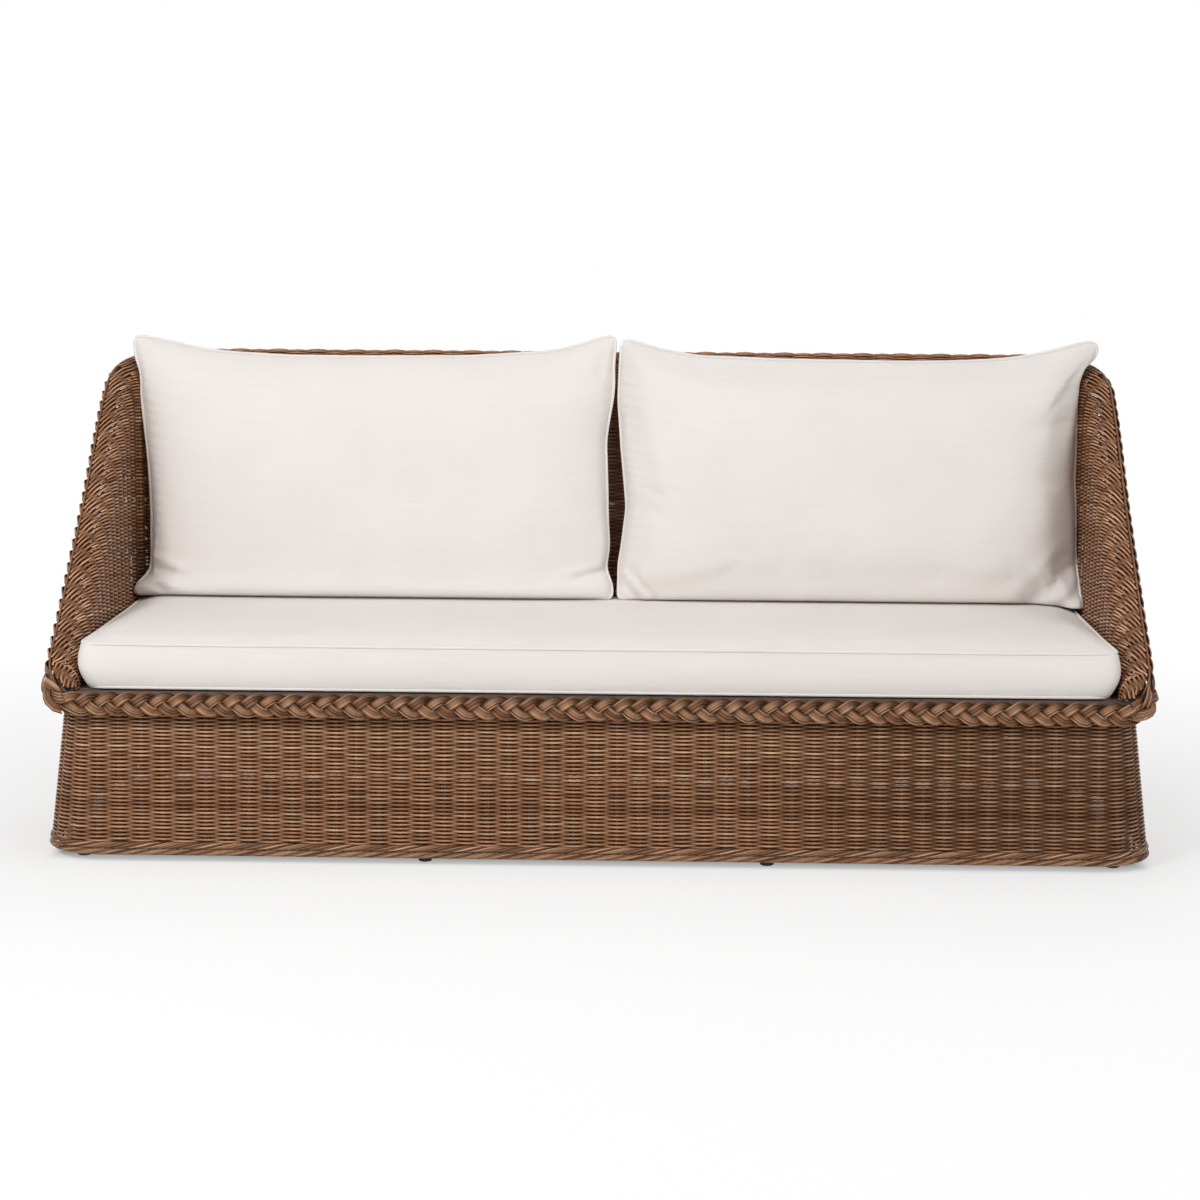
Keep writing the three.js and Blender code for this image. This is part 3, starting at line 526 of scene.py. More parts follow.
# %% [markdown]
# ## The rim line
#
# Everything above the deck follows one line: the rim. It starts low in the middle of the front,
# turns the front corner, climbs the arm in a long S and runs level round the back. The rim's
# height is a smooth curve through a few measured points, and its plan is a rounded box that
# leans outward as it rises. One half is described here, and the other is its mirror image.

# %% Heights and plan of the rim
seat_half, back_top = 1.014, 0.953
back_inner, arm_front = 0.4054, -0.4154
arm_lean, back_lean = 0.048, 0.25
back_radius, front_turn_radius = 0.130, 0.034
roll_width, roll_height = 0.044, 0.060
wall_foot, wall_mid = 0.3283, 0.0035
front_turn = front_turn_radius * QUARTER_TURN
arm_length = back_inner - back_radius - arm_front
back_turn = (back_radius + roll_width) * QUARTER_TURN
rim_length = front_turn + arm_length + back_turn

way_shares = np.array([0, 0.0585, 0.156, 0.2924, 0.4873, 0.6823, 0.7817, 0.883, 1])
climb_shares = np.array([0, 0.0966, 0.1891, 0.3276, 0.5499, 0.8277, 0.9437, 0.992, 1])
secants = np.diff(climb_shares) / np.diff(way_shares)
slopes = np.concatenate([[secants[0] * 0.5], (secants[1:] + secants[:-1]) / 2, [0]])


def rim_height(way):
    """Height of the rim after this many metres from the start of the front corner."""
    share = np.clip(way / rim_length, 0, 1)
    k = np.clip(np.searchsorted(way_shares, share, side="right") - 1, 0, 7)
    step = way_shares[k + 1] - way_shares[k]
    t = (share - way_shares[k]) / step
    climb = ((1 + 2 * t) * (1 - t) ** 2 * climb_shares[k] + t * (1 - t) ** 2 * step * slopes[k]
             + t * t * (3 - 2 * t) * climb_shares[k + 1] - t * t * (1 - t) * step * slopes[k + 1])
    return deck_z + (back_top - deck_z) * climb


def way_at(u):
    """Metres along the rim at a station: -3 front middle, 0 and 1 arm ends, 3 back middle."""
    before = front_turn * np.maximum(1 + u / 2, 0)
    along = front_turn + u * arm_length
    after = front_turn + arm_length + (u - 1) * back_turn
    return np.where(u <= 0, before, np.where(u <= 1, along, after))


def wall_point(u, z, offset):
    """Point at a station, a height and a distance outside the wall's inner face."""
    u, z, offset = np.broadcast_arrays(u, z, offset)
    half = seat_half + arm_lean * (z - deck_z)
    back = back_inner - back_lean * (back_top - z)
    turn_x, turn_y = half - back_radius, back - back_radius
    front_x = half + roll_width - front_turn_radius
    reach = front_turn_radius + offset - roll_width
    angle = np.clip(u, -2, 0) * HALF_TURN / 4
    front_shift = np.where(u < -2, front_x * (u + 3), front_x)
    rear = (np.clip(u, 1, 2) - 1) * QUARTER_TURN
    rear_x = np.where(u > 2, turn_x * (3 - u), turn_x + (back_radius + offset) * np.cos(rear))
    rear_y = np.where(u > 2, back + offset, turn_y + (back_radius + offset) * np.sin(rear))
    x = np.select([u < 0, u <= 1], [front_shift + reach * np.cos(angle) * (u >= -2), half + offset],
                  rear_x)
    y = np.select([u < 0, u <= 1], [arm_front + reach * np.sin(angle),
                  arm_front + u * (turn_y - arm_front)], rear_y)
    return np.stack([x, y, z], -1)


print("rim length of one side", round(float(rim_length), 4), "m")

# %% [markdown]
# ## The woven wall
#
# The wall is one sheet of randing that rolls outward over the rim pole. On the arms the rim
# falls fast while the weavers stay nearly level, so they meet it at a slant: near the rim each
# weaver bends down with it, and the stakes there look like combed hair. The rows are level
# lines of one smooth field over the wall: the height along the sheet, less a term that grows
# towards the rim. Following the level lines gives each weaver. There are fewer of them at the
# rim than below: out of every six, two end a few centimetres short of it and the other four
# spread into their room, which makes the fans. As on the skirt, each row gets painted shade
# where it goes behind a stake. Behind the cushions the weave is fuller and painted darker still:
# painted shade for the cushions' shadow. Beside the stakes at the back's corners and middle a
# few rows are slack, and let pinholes of light through.

# %% A grid over the wall
back_stakes, turn_stakes, arm_stakes = 21, 5, 15
turn_end = back_stakes + turn_stakes
wall_columns = turn_end + arm_stakes
front_columns = 0.9
section_steps = 40
roll_sink = 0.004


def station(c):
    """Station of a stake counted from the back's middle, on one side."""
    c = np.abs(c)
    return np.select([c <= back_stakes, c <= turn_end],
                     [3 - c / back_stakes, 2 - (c - back_stakes) / turn_stakes],
                     np.maximum(1 - (c - turn_end) / arm_stakes, 0))


def wall_grid(c):
    """Points of the wall's inner face: one section from foot to rim for each stake number."""
    side = np.where(c < 0, -1.0, 1.0)
    ahead_share = np.clip((np.abs(c) - wall_columns) / front_columns, 0, 1)
    reach = ahead_share * 0.97 * front_turn_radius
    turned = -4 / HALF_TURN * np.arcsin(reach / front_turn_radius)
    u = station(c)
    top = rim_height(way_at(np.where(ahead_share > 0, turned, u)))
    top = top - roll_sink * np.clip((top - deck_z) / 0.1, 0, 1)
    foot = np.where(ahead_share > 0, deck_z + 0.0003, wall_foot)
    sag = front_turn_radius - np.sqrt(front_turn_radius**2 - reach**2)
    width = roll_width - sag - 0.0017 * ahead_share
    roll = np.minimum(roll_height, (top - foot) * 0.8)
    share = np.linspace(0, 1, section_steps)[None, :]
    straight = (top - foot - roll)[:, None]
    bend = 1.2 * roll[:, None]
    run = share * (straight + bend)
    turn = np.clip((run - straight) / bend, 0, 1) * QUARTER_TURN
    z = foot[:, None] + np.minimum(run, straight) + roll[:, None] * np.sin(turn)
    offset = width[:, None] * (1 - np.cos(turn))
    points = wall_point(u[:, None], z, offset)
    points[..., 1] -= reach[:, None]
    points[..., 0] *= side[:, None]
    return points


def wall_surface(c):
    """Middle of the sheet with its inward direction, and the height along the sheet."""
    step = 0.02
    points = wall_grid(c)
    across = wall_grid(c + step) - wall_grid(c - step)
    inward = unit(np.cross(np.gradient(points, axis=1), across))
    centre = points - inward * wall_mid
    steps = np.linalg.norm(np.diff(centre, axis=1), axis=2)
    height = np.concatenate([np.zeros((len(c), 1)), np.cumsum(steps, axis=1)], axis=1)
    return centre, inward, height


# %% Weave the wall
arm_fall = 0.005
wall_pitch = 0.0040
rim_crowd, crowd_reach = 0.6, 0.055
wall_swing = 0.0026
fan_depth, fan_edge, fan_group, fan_kept = 0.041, 0.009, 6, 4
first_end, end_step = 0.031, 0.003
# The zone behind the cushions: its weave is fuller, and painted shade darkens it.
cushion_shade_column, cushion_shade_edge, cushion_shade_from, cushion_shade_reach = 26.6, 1.6, 0.03, 0.05
slack_from, slack_to, slack_middle = 19.5, 28.5, 3
slack_corner_share, slack_middle_share, slack_girth = 0.15, 0.05, 0.5
pinhole_place, pinhole_half = 0.42, 0.12


def fall(c):
    """How far the rows' level is let down at a stake, which tilts them up towards the front."""
    past = np.maximum(np.abs(c) - back_stakes, 0)
    return -arm_fall * past**2 / (past + 3)


def wall_rows(start, end, steps):
    """Weavers between two stake numbers, as paths and the tone of each."""
    c = np.linspace(start, end, int(round((end - start) * steps)) + 1)
    centre, inward, height = wall_surface(c)
    full = height[:, -1:]
    depth = full - height
    crowd = crowd_reach * rim_crowd * (1 - np.exp(-depth / crowd_reach))
    level = height - crowd + fall(c)[:, None]
    near = np.clip((fan_depth + fan_edge - depth) / (2 * fan_edge), 0, 1)
    near = near**2 * (3 - 2 * near)
    stake = np.abs(c)
    corner = np.clip(stake - slack_from, 0, 1) * np.clip(slack_to - stake, 0, 1)
    middle = np.clip(slack_middle - stake, 0, 1)
    past_stake = np.abs(np.mod(stake, 1) - pinhole_place) < pinhole_half
    behind = np.clip((cushion_shade_column - stake) / cushion_shade_edge, 0, 1)
    strands = []
    first = math.floor(level.min() / wall_pitch)
    last = math.ceil(level.max() / wall_pitch)
    picks = np.arange(len(c))
    for row in range(first, last + 1):
        sway = row_shift * np.sin(c * 0.8 + row * 0.13)
        value = row * wall_pitch + sway
        place = row % fan_group
        spread = (place - (fan_kept - 1) / 2) * (fan_group / fan_kept - 1) * wall_pitch
        field = level - (spread if place < fan_kept else 0) * near
        margin = np.minimum(value - field[:, 0], field[:, -1] - value)
        above = np.clip((field < value[:, None]).sum(axis=1), 1, section_steps - 1)
        low, high = field[picks, above - 1], field[picks, above]
        t = np.clip((value - low) / (high - low), 0, 1)[:, None]
        if place >= fan_kept:
            ends_at = first_end - end_step * (place - fan_kept)
            margin = np.minimum(margin, depth[picks, above] - ends_at)
        point, out = (grid[picks, above - 1] * (1 - t) + grid[picks, above] * t
                      for grid in (centre, inward))
        swing = np.cos(HALF_TURN * (c + row))
        proud = out * swing[:, None]
        deeper = np.clip((depth[picks, above] - cushion_shade_from) / cushion_shade_reach, 0, 1)
        cushion_shade_zone = behind * deeper
        path = point + proud * (wall_swing * (1 - 0.2 * cushion_shade_zone))[:, None]
        slack = wall_slack[row % len(wall_slack)]
        thin = corner * (slack < slack_corner_share) + middle * (slack < slack_middle_share)
        girth = 1.05 + 0.13 * cushion_shade_zone + 0.08 * near[picks, above]
        girth -= slack_girth * past_stake * thin
        # Painted shade behind the cushions: proud faces are darkened and the sides are not
        # lightened.
        light_kept = 1 - 1.4 * cushion_shade_zone * (swing > 0)
        lift = side_lift * (1 - swing**2) * (1 - cushion_shade_zone)
        values = np.column_stack([path, proud * light_kept[:, None], girth, lift])
        edges = np.flatnonzero(np.diff(np.concatenate([[0], (margin > 0).astype(int), [0]])))
        for a, b in edges.reshape(-1, 2):
            if b - a < 3:
                continue
            strand = [values[a:b]]
            for inner, outer, side in ((a, a - 1, 0), (b - 1, b, 1)):
                if 0 <= outer < len(c):
                    t = max(margin[inner] / (margin[inner] - margin[outer]), 0.1)
                    cut = values[inner] * (1 - t) + values[outer] * t
                    strand.insert(side * len(strand), cut)
            strand = np.vstack(strand)
            tone = wall_tones[row % len(wall_tones)]
            strands.append((strand[:, :3], strand[:, 3:6], strand[:, 6], strand[:, 7], tone))
    return zip(*strands)


def wall_stakes(stakes):
    """Both canes of each pair of stakes, from the foot to the rim."""
    centre, inward, _ = wall_surface(np.asarray(stakes, float))
    apart = unit(np.cross(np.gradient(centre, axis=1), inward)) * stake_half_gap
    return [(centre[i] + apart[i] * side)[::2] for i in range(len(stakes)) for side in (-1, 1)]


wall_tones = 0.5 + 0.13 * rng.standard_normal(400)
wall_slack = rng.random(400)
wall_cuts = [("left", [(-41.9, -25)], 4, range(-41, -24)),
             ("back", [(-25, -8), (-8, 8), (8, 25)], 3, range(-25, 26)),
             ("right", [(25, 41.9)], 4, range(26, 42))]
for side, spans, steps, stakes in wall_cuts:
    for number, (start, end) in enumerate(spans, 1):
        paths, faces, girths, painted_lift, tones = wall_rows(start, end, steps)
        weave = cane_piece(f"wall_rows_{side}_{number}", paths, weaver_radius, weaver_cane,
                           tones=tones, faces=faces, girths=girths, painted_lift=painted_lift)
        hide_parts("wall_weave_" + side)
    cane_piece("wall_stakes_" + side, wall_stakes(stakes), stake_radius, stake_cane)

# %% [markdown]
# ## The plaited border
#
# A plait of three flat bundles caps the roll. In a plait each bundle swings from edge to edge,
# over its neighbours on the way out and under them on the way back: across the band it follows
# a sine with its slopes drawn straight, and in and out a sine of twice the speed. The three
# bundles are the same curve, a third of the way apart. Seven canes side by side make a bundle.
# Rows of thicker cane lie behind the plait and close its hollows.

# %% The braid line
line_out = roll_width + 0.0006
chevron = 0.0359
spans = [(-3, -2, 120), (-2, 0, 60), (0, 1, 260), (1, 2, 120), (2, 3, 120)]
stations = np.unique(np.concatenate([np.linspace(*span) for span in spans]))
right_half = wall_point(stations, rim_height(way_at(stations)), line_out)
left_half = right_half[::-1] * (-1, 1, 1)
rim_line = np.vstack([left_half[:-1], right_half])
rim_way = lengths(rim_line)
rim_total = rim_way[-1]
chevrons = round(rim_total / chevron)
print("rim", round(float(rim_total), 3), "m with", chevrons, "chevrons")


def rim_frame(way):
    """Point, outward and upward direction at distances along the rim from the back's middle."""
    def at(w):
        w = np.mod(w, rim_total)
        return np.stack([np.interp(w, rim_way, rim_line[:, k]) for k in range(3)], -1)

    along = unit(at(way + 0.012) - at(way - 0.012))
    out = unit(np.cross(along, (0, 0, 1.0)))
    return at(way), out, np.cross(out, along)


# %% Plait the border
braid_out, braid_down = 0.0078, 0.0245
braid_half, braid_wave = 0.0150, 0.0042
braid_cane, cane_gap, bundle, plies = 0.0014, 0.0026, 7, 3
braid_fold = 0.8
back_sink = 0.0023
# The front braid's top edge sinks under the seat cushion, and its canes get a painted shadow of the
# cushion there.
tuck_edge, tuck_depth, cushion_shadow = 0.03, 0.007, 0.3
rim_middle = rim_total / 2
half_way = lengths(right_half)
front_half = half_way[np.searchsorted(stations, -2)]
back_half = rim_middle - half_way[np.searchsorted(stations, 2, side="right")]


def braid_paths(start, end, lifted, hollow):
    """The canes of the plait between two distances along the rim.

    The two values after the distances are how far the painted shade is lifted where the canes
    cross over, and hollow, the least share of that.
    """
    way = np.linspace(start, end, int((end - start) / (rim_total / chevrons) * 6) + 1)
    paths, faces, painted_lift = [], [], []
    tucked = np.clip((front_half - np.abs(way - rim_middle)) / tuck_edge, 0, 1)
    for strand in range(plies):
        t = HALF_TURN * 2 * (way / rim_total * chevrons / plies + strand / plies)
        across = np.arcsin(braid_fold * np.sin(t)) / math.asin(braid_fold)
        lean = np.arctan(np.gradient(braid_half * across, way))
        for cane in range(bundle):
            w = (cane - (bundle - 1) / 2) * cane_gap
            point, out, up = rim_frame(way - w * np.sin(lean))
            rise = braid_half * across + w * np.cos(lean) - braid_down
            rise -= back_sink * (point[:, 2] - deck_z) / (back_top - deck_z)
            deep = braid_out + braid_wave * np.sin(2 * t)
            top_share = np.clip((rise + braid_down) / 0.02 - 0.35, 0, 1)
            deep -= tuck_depth * tucked * top_share**2
            paths.append(point + up * rise[:, None] + out * deep[:, None])
            # Painted shade: darker where a bundle goes under, lighter at the band's edges.
            edge = np.sin(t) * np.abs(np.sin(t)) ** 3
            # At the front the top edge is painted darker: a painted shadow of the seat cushion.
            under = cushion_shadow * tucked * (edge > 0)
            faces.append(out * np.clip(1.6 * np.sin(2 * t), -1, 1)[:, None] * (1 - edge**2)[:, None]
                         + up * (edge * (1 - 2 * under))[:, None])
            # How far the painted shade is lifted all round; a bundle's outer canes are lifted on
            # top.
            shown = np.maximum(np.sin(t) ** 2, hollow)
            if cane in (0, bundle - 1):
                shown = np.maximum(shown, np.clip(1.5 * np.sin(2 * t), 0, 1))
            painted_lift.append(lifted * shown * (1 - under))
    return paths, faces, painted_lift


arm_marks = rim_middle - front_half, rim_middle + front_half
# How far the braid's painted shade is lifted, on the arms and on the level front and back.
arm_lift, level_lift = (0.85, 0.55), (0.68, 0)
braid_cuts = [("back_left", 0.0, back_half, level_lift),
              ("left", back_half, arm_marks[0], arm_lift),
              ("front", *arm_marks, level_lift),
              ("right", arm_marks[1], rim_total - back_half, arm_lift),
              ("back_right", rim_total - back_half, rim_total, level_lift)]
for side, start, end, lift in braid_cuts:
    paths, faces, painted_lift = braid_paths(start, end, *lift)
    tones = 0.5 + 0.24 * rng.standard_normal(len(paths))
    plait = cane_piece("braid_canes_" + side, paths, braid_cane, border_cane,
                       tones=tones, faces=faces, painted_lift=painted_lift)
    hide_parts("braid_" + side.split("_")[0])

# %% Lay the core under the plait
core_cane, core_rows, core_gap = 0.0026, 7, 0.0053
core_out, core_down = (0.0004, 0.0030), (0.0085, 0.0020)
core_way = np.linspace(0, rim_total, int(rim_total / 0.01))
point, out, up = rim_frame(core_way)
from_front = np.abs(core_way - rim_middle)
past_marks = np.minimum(from_front - front_half, rim_middle - from_front - back_half)
on_arm = np.clip(past_marks / 0.04, 0, 1)
deep, down = (np.interp(on_arm, (0, 1), ends)[:, None] for ends in (core_out, core_down))
core_paths = [point + out * deep - up * (down + core_gap * row) for row in range(core_rows)]
# On the arms most of the core's painted shade is lifted, so it shows lighter there.
cane_piece("rim_core", core_paths, core_cane, border_cane,
           painted_lift=[0.8 * on_arm] * core_rows)

# %% [markdown]
# ## The foot border
#
# The skirt ends in a wale: ropes of cane that close the weave and take the knocks. Two ropes
# lie one on the other, each of three strands with three canes in a strand, twisted with a long
# lay so that the strands look almost level.

# %% Twist the foot ropes
rope_radius, rope_cane, rope_depth = 0.0047, 0.0018, 0.0025
rope_lay, rope_strands, rope_plies = 3, 3, 3
ply_turn, ply_painted_shade = math.radians(36), 0.45
upper_rope, lower_rope = (0.0335, 0), (0.0205, 0.5)


def foot_rope(start, end, z, shift):
    """The nine canes of a rope at height z, turned by a share of a turn."""
    c = np.linspace(start, end, (end - start) * 3 + 1)
    paths, faces = [], []
    for cane in range(rope_strands * rope_plies):
        strand, place = divmod(cane, rope_plies)
        turns = 2 * HALF_TURN * (c / rope_lay + strand / rope_strands + shift)
        angle = turns + ply_turn * (place - 1)
        rise, deep = rope_radius * np.sin(angle), rope_radius * np.cos(angle)
        points, out = skirt_point(c, z + rise, deep - rope_depth)
        paths.append(points)
        # Painted shade: the two outer canes of each strand get weaker faces, so their proud side is
        # darker.
        faces.append((out * np.cos(angle)[:, None] + (0, 0, 1) * np.sin(angle)[:, None])
                     * (1 - ply_painted_shade * (place != 1)))
    return paths, faces


for side, start, end in skirt_cuts:
    upper, lower = foot_rope(start, end, *upper_rope), foot_rope(start, end, *lower_rope)
    wale = cane_piece("foot_rope_" + side, upper[0] + lower[0], rope_cane, border_cane,
                      tones=0.5 + 0.25 * rng.standard_normal(18),
                      faces=upper[1] + lower[1])
    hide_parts("foot_border")

# %% [markdown]
# ## The cushions
#
# Each cushion starts as a flat grid of cloth, one layer for its front and one for its back, and
# the grid's edge is the seam. Placed on the cushion's plump form and then blown up a little with
# the cloth solver, it gets the soft swells and puckers of a real cover. How far a point may move
# is capped, so that the cushion keeps its place between its neighbours. The grid's own
# coordinates stay on the cloth as an attribute, and the weave of the canvas follows them.

# %% Canvas
def canvas_finish(name, colour, shade):
    """Heavy off-white canvas: a fine ribbed weave along its own threads, soft and matt."""
    finish, shader, node = new_finish(name)
    thread = node("Attribute", attribute_name="thread")
    parts = node("SeparateXYZ", {"Vector": thread.outputs["Vector"]})
    ribs = []
    for axis, pitch in (("X", 0.0011), ("Y", 0.0016)):
        rate = 2 * HALF_TURN / pitch
        turns = node("Math", {0: parts.outputs[axis], 1: rate}, operation="MULTIPLY")
        ribs.append(node("Math", {0: turns}, operation="SINE"))
    weave = node("Math", {0: ribs[0], 1: ribs[1]}, operation="MULTIPLY")
    stretched = node("Mapping", {"Vector": thread.outputs["Vector"], "Scale": (6.0, 420.0, 6.0)})
    slubs = node("TexNoise", {"Vector": stretched, "Scale": 1.0, "Detail": 3.0})
    cloud = node("TexNoise", {"Vector": thread.outputs["Vector"], "Scale": 5.0, "Detail": 3.0})
    mixed = node("Math", {0: slubs, 1: cloud}, operation="ADD")
    half = node("Math", {0: mixed, 1: 0.5}, operation="MULTIPLY")
    raised = node("Math", {0: slubs, 1: 1.6}, operation="MULTIPLY")
    height = node("Math", {0: raised, 1: weave}, operation="ADD")
    bump = node("Bump", {"Height": height, "Strength": 0.35, "Distance": 0.0003})
    feed(shader, {"Base Color": ramp(node, half, [(0.35, shade), (0.6, colour)]),
                  "Roughness": 0.85, "Specular IOR Level": 0.25, "Sheen Weight": 0.15,
                  "Sheen Roughness": 0.5, "Normal": bump})
    return finish


canvas = canvas_finish("canvas", (0.80, 0.755, 0.725), (0.76, 0.71, 0.675))


# %% Blow up a cover
puff_frames = 20


def puff(piece, pressure, slack, cap):
    """Run the cloth solver on a closed cover. cap is how far a point may move."""
    rest = read_vectors(piece.data.vertices, "co")
    cloth = piece.modifiers.new("puff", "CLOTH")
    settings = cloth.settings
    settings.quality = 4
    settings.mass = 0.3
    settings.tension_stiffness = settings.compression_stiffness = 18
    settings.shear_stiffness = 6
    settings.bending_stiffness = 0.4
    settings.use_pressure = True
    settings.uniform_pressure_force = pressure
    settings.shrink_min = -slack
    settings.effector_weights.gravity = 0
    cloth.point_cache.frame_start, cloth.point_cache.frame_end = 1, puff_frames
    for step in range(1, puff_frames + 1):
        scene.frame_set(step)
    depsgraph = bpy.context.evaluated_depsgraph_get()
    shift = read_vectors(piece.evaluated_get(depsgraph).data.vertices, "co") - rest
    piece.modifiers.remove(cloth)
    scene.frame_set(1)
    size = np.linalg.norm(shift, axis=1, keepdims=True)
    shift *= cap * np.tanh(size / cap) / np.maximum(size, 1e-9)
    print(piece.name, "puffed by up to", round(float(size.max()) * 1000, 1), "mm")
    return rest + shift


def settle(piece, points, seam, crease):
    """Put the points on the cover, keep its seam crisp and add one subdivision."""
    mesh = piece.data
    mesh.vertices.foreach_set("co", points.ravel())
    form = bmesh.new()
    form.from_mesh(mesh)
    sharp = form.edges.layers.float.new("crease_edge")
    on_seam = set(seam.tolist())
    for edge in form.edges:
        if edge.verts[0].index in on_seam and edge.verts[1].index in on_seam:
            edge[sharp] = crease
    form.to_mesh(mesh)
    form.free()
    piece.modifiers.new("smooth", "SUBSURF").levels = 1
    depsgraph = bpy.context.evaluated_depsgraph_get()
    smooth = bpy.data.meshes.new_from_object(piece.evaluated_get(depsgraph))
    piece.modifiers.clear()
    piece.data = smooth
    smooth.name = piece.name
    smooth.shade_smooth()
    print(piece.name, "triangles", 2 * len(smooth.polygons))


def welt(name, path, radius, body):
    """Piping: a thin cord in its own strip of cloth, along a closed seam."""
    for _ in range(3):
        path = (np.roll(path, 1, axis=0) + 2 * path + np.roll(path, -1, axis=0)) / 4
    curve = round_curve(name, radius, 3)
    add_spline(curve, path).use_cyclic_u = True
    mesh = curve_mesh(curve)
    around = len(mesh.vertices) // len(path)
    along = np.repeat(lengths(path), around)
    turn = np.tile(np.arange(around) / around * 2 * HALF_TURN * radius, len(path))
    set_vectors(mesh, "thread", np.column_stack([along, turn, 0 * turn]))
    put_piece(mesh, canvas, body)


def at_edge(across, up):
    """Which points of a cloth's shares lie on its edge."""
    return (np.abs(across) > 1 - 1e-6) | (np.abs(up) > 1 - 1e-6)


def in_order(points, seam, across, up):
    """A seam's points in their order round the cushion, by the shares of its cloth."""
    across, up = across[seam], up[seam]
    place = np.select([up <= -1 + 1e-6, across >= 1 - 1e-6, up >= 1 - 1e-6],
                      [across + 1, up + 3, 5 - across], 7 - up)
    return points[seam[np.argsort(place)]]


# %% [markdown]
# ## The seat cushion
#
# A boxed cushion: a crowned top panel, a boxing strip that bulges a little and a flat underside,
# with piping at both seams. The top starts as a grid whose square corners are pulled in to
# round ones, and the boxing is drawn out of its edge ring by ring.

# %% Seat cushion form
seat_half_width, seat_front, seat_back = 1.012, -0.446, 0.250
seat_floor, seat_seam, seat_crown = 0.3403, 0.4303, 0.011
seat_corner, seat_rear_corner = 0.030, 0.128
seat_across, seat_deep, boxing_rows = 140, 48, 8
seat_tuck, foot_tuck, side_bulge = 0.008, 0.012, 0.0045


def rounded(over_x, over_y):
    """Share of the way past a corner's start that is left when a square corner turns round."""
    return np.maximum(over_x, over_y) / np.maximum(np.hypot(over_x, over_y), 1e-9)


def seat_plan(across, up, grow, ends):
    """Plan of the cushion: a square's shares to the rounded outline, grown outward."""
    half = seat_half_width + grow + ends
    front, back = seat_front - grow, seat_back + grow
    x, y = across * half, (front + back) / 2 + up * (back - front) / 2
    radius = np.where(up < 0, seat_corner, seat_rear_corner) + grow
    over_x = np.maximum(np.abs(x) - (half - radius), 0)
    inner_y = np.where(up < 0, front + radius, back - radius)
    over_y = np.maximum(np.where(up < 0, inner_y - y, y - inner_y), 0)
    pull = rounded(over_x, over_y)
    x = np.sign(x) * (np.abs(x) - over_x * (1 - pull))
    y = y + np.where(up < 0, 1, -1) * over_y * (1 - pull)
    return x, y


def read_layers(form, names):
    """Values of some float layers, one row for each vertex."""
    layers = [form.verts.layers.float[name] for name in names]
    return np.array([[vert[layer] for layer in layers] for vert in form.verts])


def cloth_grid(across_steps, up_steps):
    """Two layers of cloth on a square of shares, the second one facing the other way."""
    form = bmesh.new()
    bmesh.ops.create_grid(form, x_segments=across_steps, y_segments=up_steps, size=1)
    layers = [form.verts.layers.float.new(name) for name in ("across", "up", "level")]
    for vert in form.verts:
        vert[layers[0]], vert[layers[1]], vert[layers[2]] = vert.co.x, vert.co.y, 0
    twin = bmesh.ops.duplicate(form, geom=form.verts[:] + form.edges[:] + form.faces[:])["geom"]
    bmesh.ops.reverse_faces(form, faces=[f for f in twin if isinstance(f, bmesh.types.BMFace)])
    for vert in twin:
        if isinstance(vert, bmesh.types.BMVert):
            vert[layers[2]] = 2
    return form, layers


def cover(name, form, points, thread, body):
    """Make the cushion's object from its grid, its points and its thread coordinates."""
    for vert, point in zip(form.verts, points):
        vert.co = point
    layer = form.verts.layers.float_vector.new("thread")
    for vert, place in zip(form.verts, thread):
        vert[layer] = place
    bmesh.ops.remove_doubles(form, verts=form.verts, dist=0.00005)
    bmesh.ops.recalc_face_normals(form, faces=form.faces)
    mesh = bpy.data.meshes.new(name)
    form.to_mesh(mesh)
    mesh.materials.append(canvas)
    piece = put(name, mesh)
    shares = read_layers(form, ("across", "up", "level"))
    form.free()
    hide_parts(body)
    return piece, shares


# %% Make the seat cushion
form, layers = cloth_grid(seat_across, seat_deep)
ring = [e for e in form.edges if e.is_boundary and e.verts[0][layers[2]] == 0]
for row in range(1, boxing_rows + 1):
    drawn = bmesh.ops.extrude_edge_only(form, edges=ring)["geom"]
    ring = [e for e in drawn if isinstance(e, bmesh.types.BMEdge) and e.is_boundary]
    for vert in {v for e in ring for v in e.verts}:
        vert[layers[2]] = row / boxing_rows
across, up, level = read_layers(form, ("across", "up", "level")).T
under = level == 2
down = np.where(under, 1, level)
bulge = side_bulge + side_bulge * np.abs(across) ** 12
grow = -seat_tuck + bulge * np.sin(HALF_TURN * down)
x, y = seat_plan(across, up, grow, -foot_tuck * down**3)
middle = np.where(level == 0, (1 - np.abs(across) ** 16) * (1 - np.abs(up) ** 6), 0) ** 0.7
z = seat_seam - 0.002 + (seat_floor + 0.004 - seat_seam) * down + 0.9 * seat_crown * middle
flat = (level == 0) | under
thread = np.column_stack([np.where(flat, x, x + y), np.where(flat, y, z), 0 * z])
seat, shares = cover("seat_cover", form, np.column_stack([x, y, z]), thread, "seat_cushion")
across, up, level = shares.T
from_edge = np.minimum((1 - np.abs(across)) * 1.0, (1 - np.abs(up)) * 0.35)
loose = np.maximum(np.clip(from_edge / 0.05, 0, 1) * (level == 0), np.abs(across) ** 12)
points = puff(seat, pressure=3.0, slack=0.008, cap=(0.004 + 0.007 * loose)[:, None])
points[:, 0] *= seat_half_width / np.abs(points[:, 0]).max()
points[:, 2] = np.clip(points[:, 2], seat_floor + 0.0005, seat_seam + seat_crown)
points[:, 1] = np.maximum(points[:, 1], seat_front - 0.004)
rim = at_edge(across, up)
top_seam = np.flatnonzero(rim & (level == 0))
low_seam = np.flatnonzero(rim & (level >= 1))
settle(seat, points, np.concatenate([top_seam, low_seam]), crease=0.9)
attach(seat, "seat_cushion")
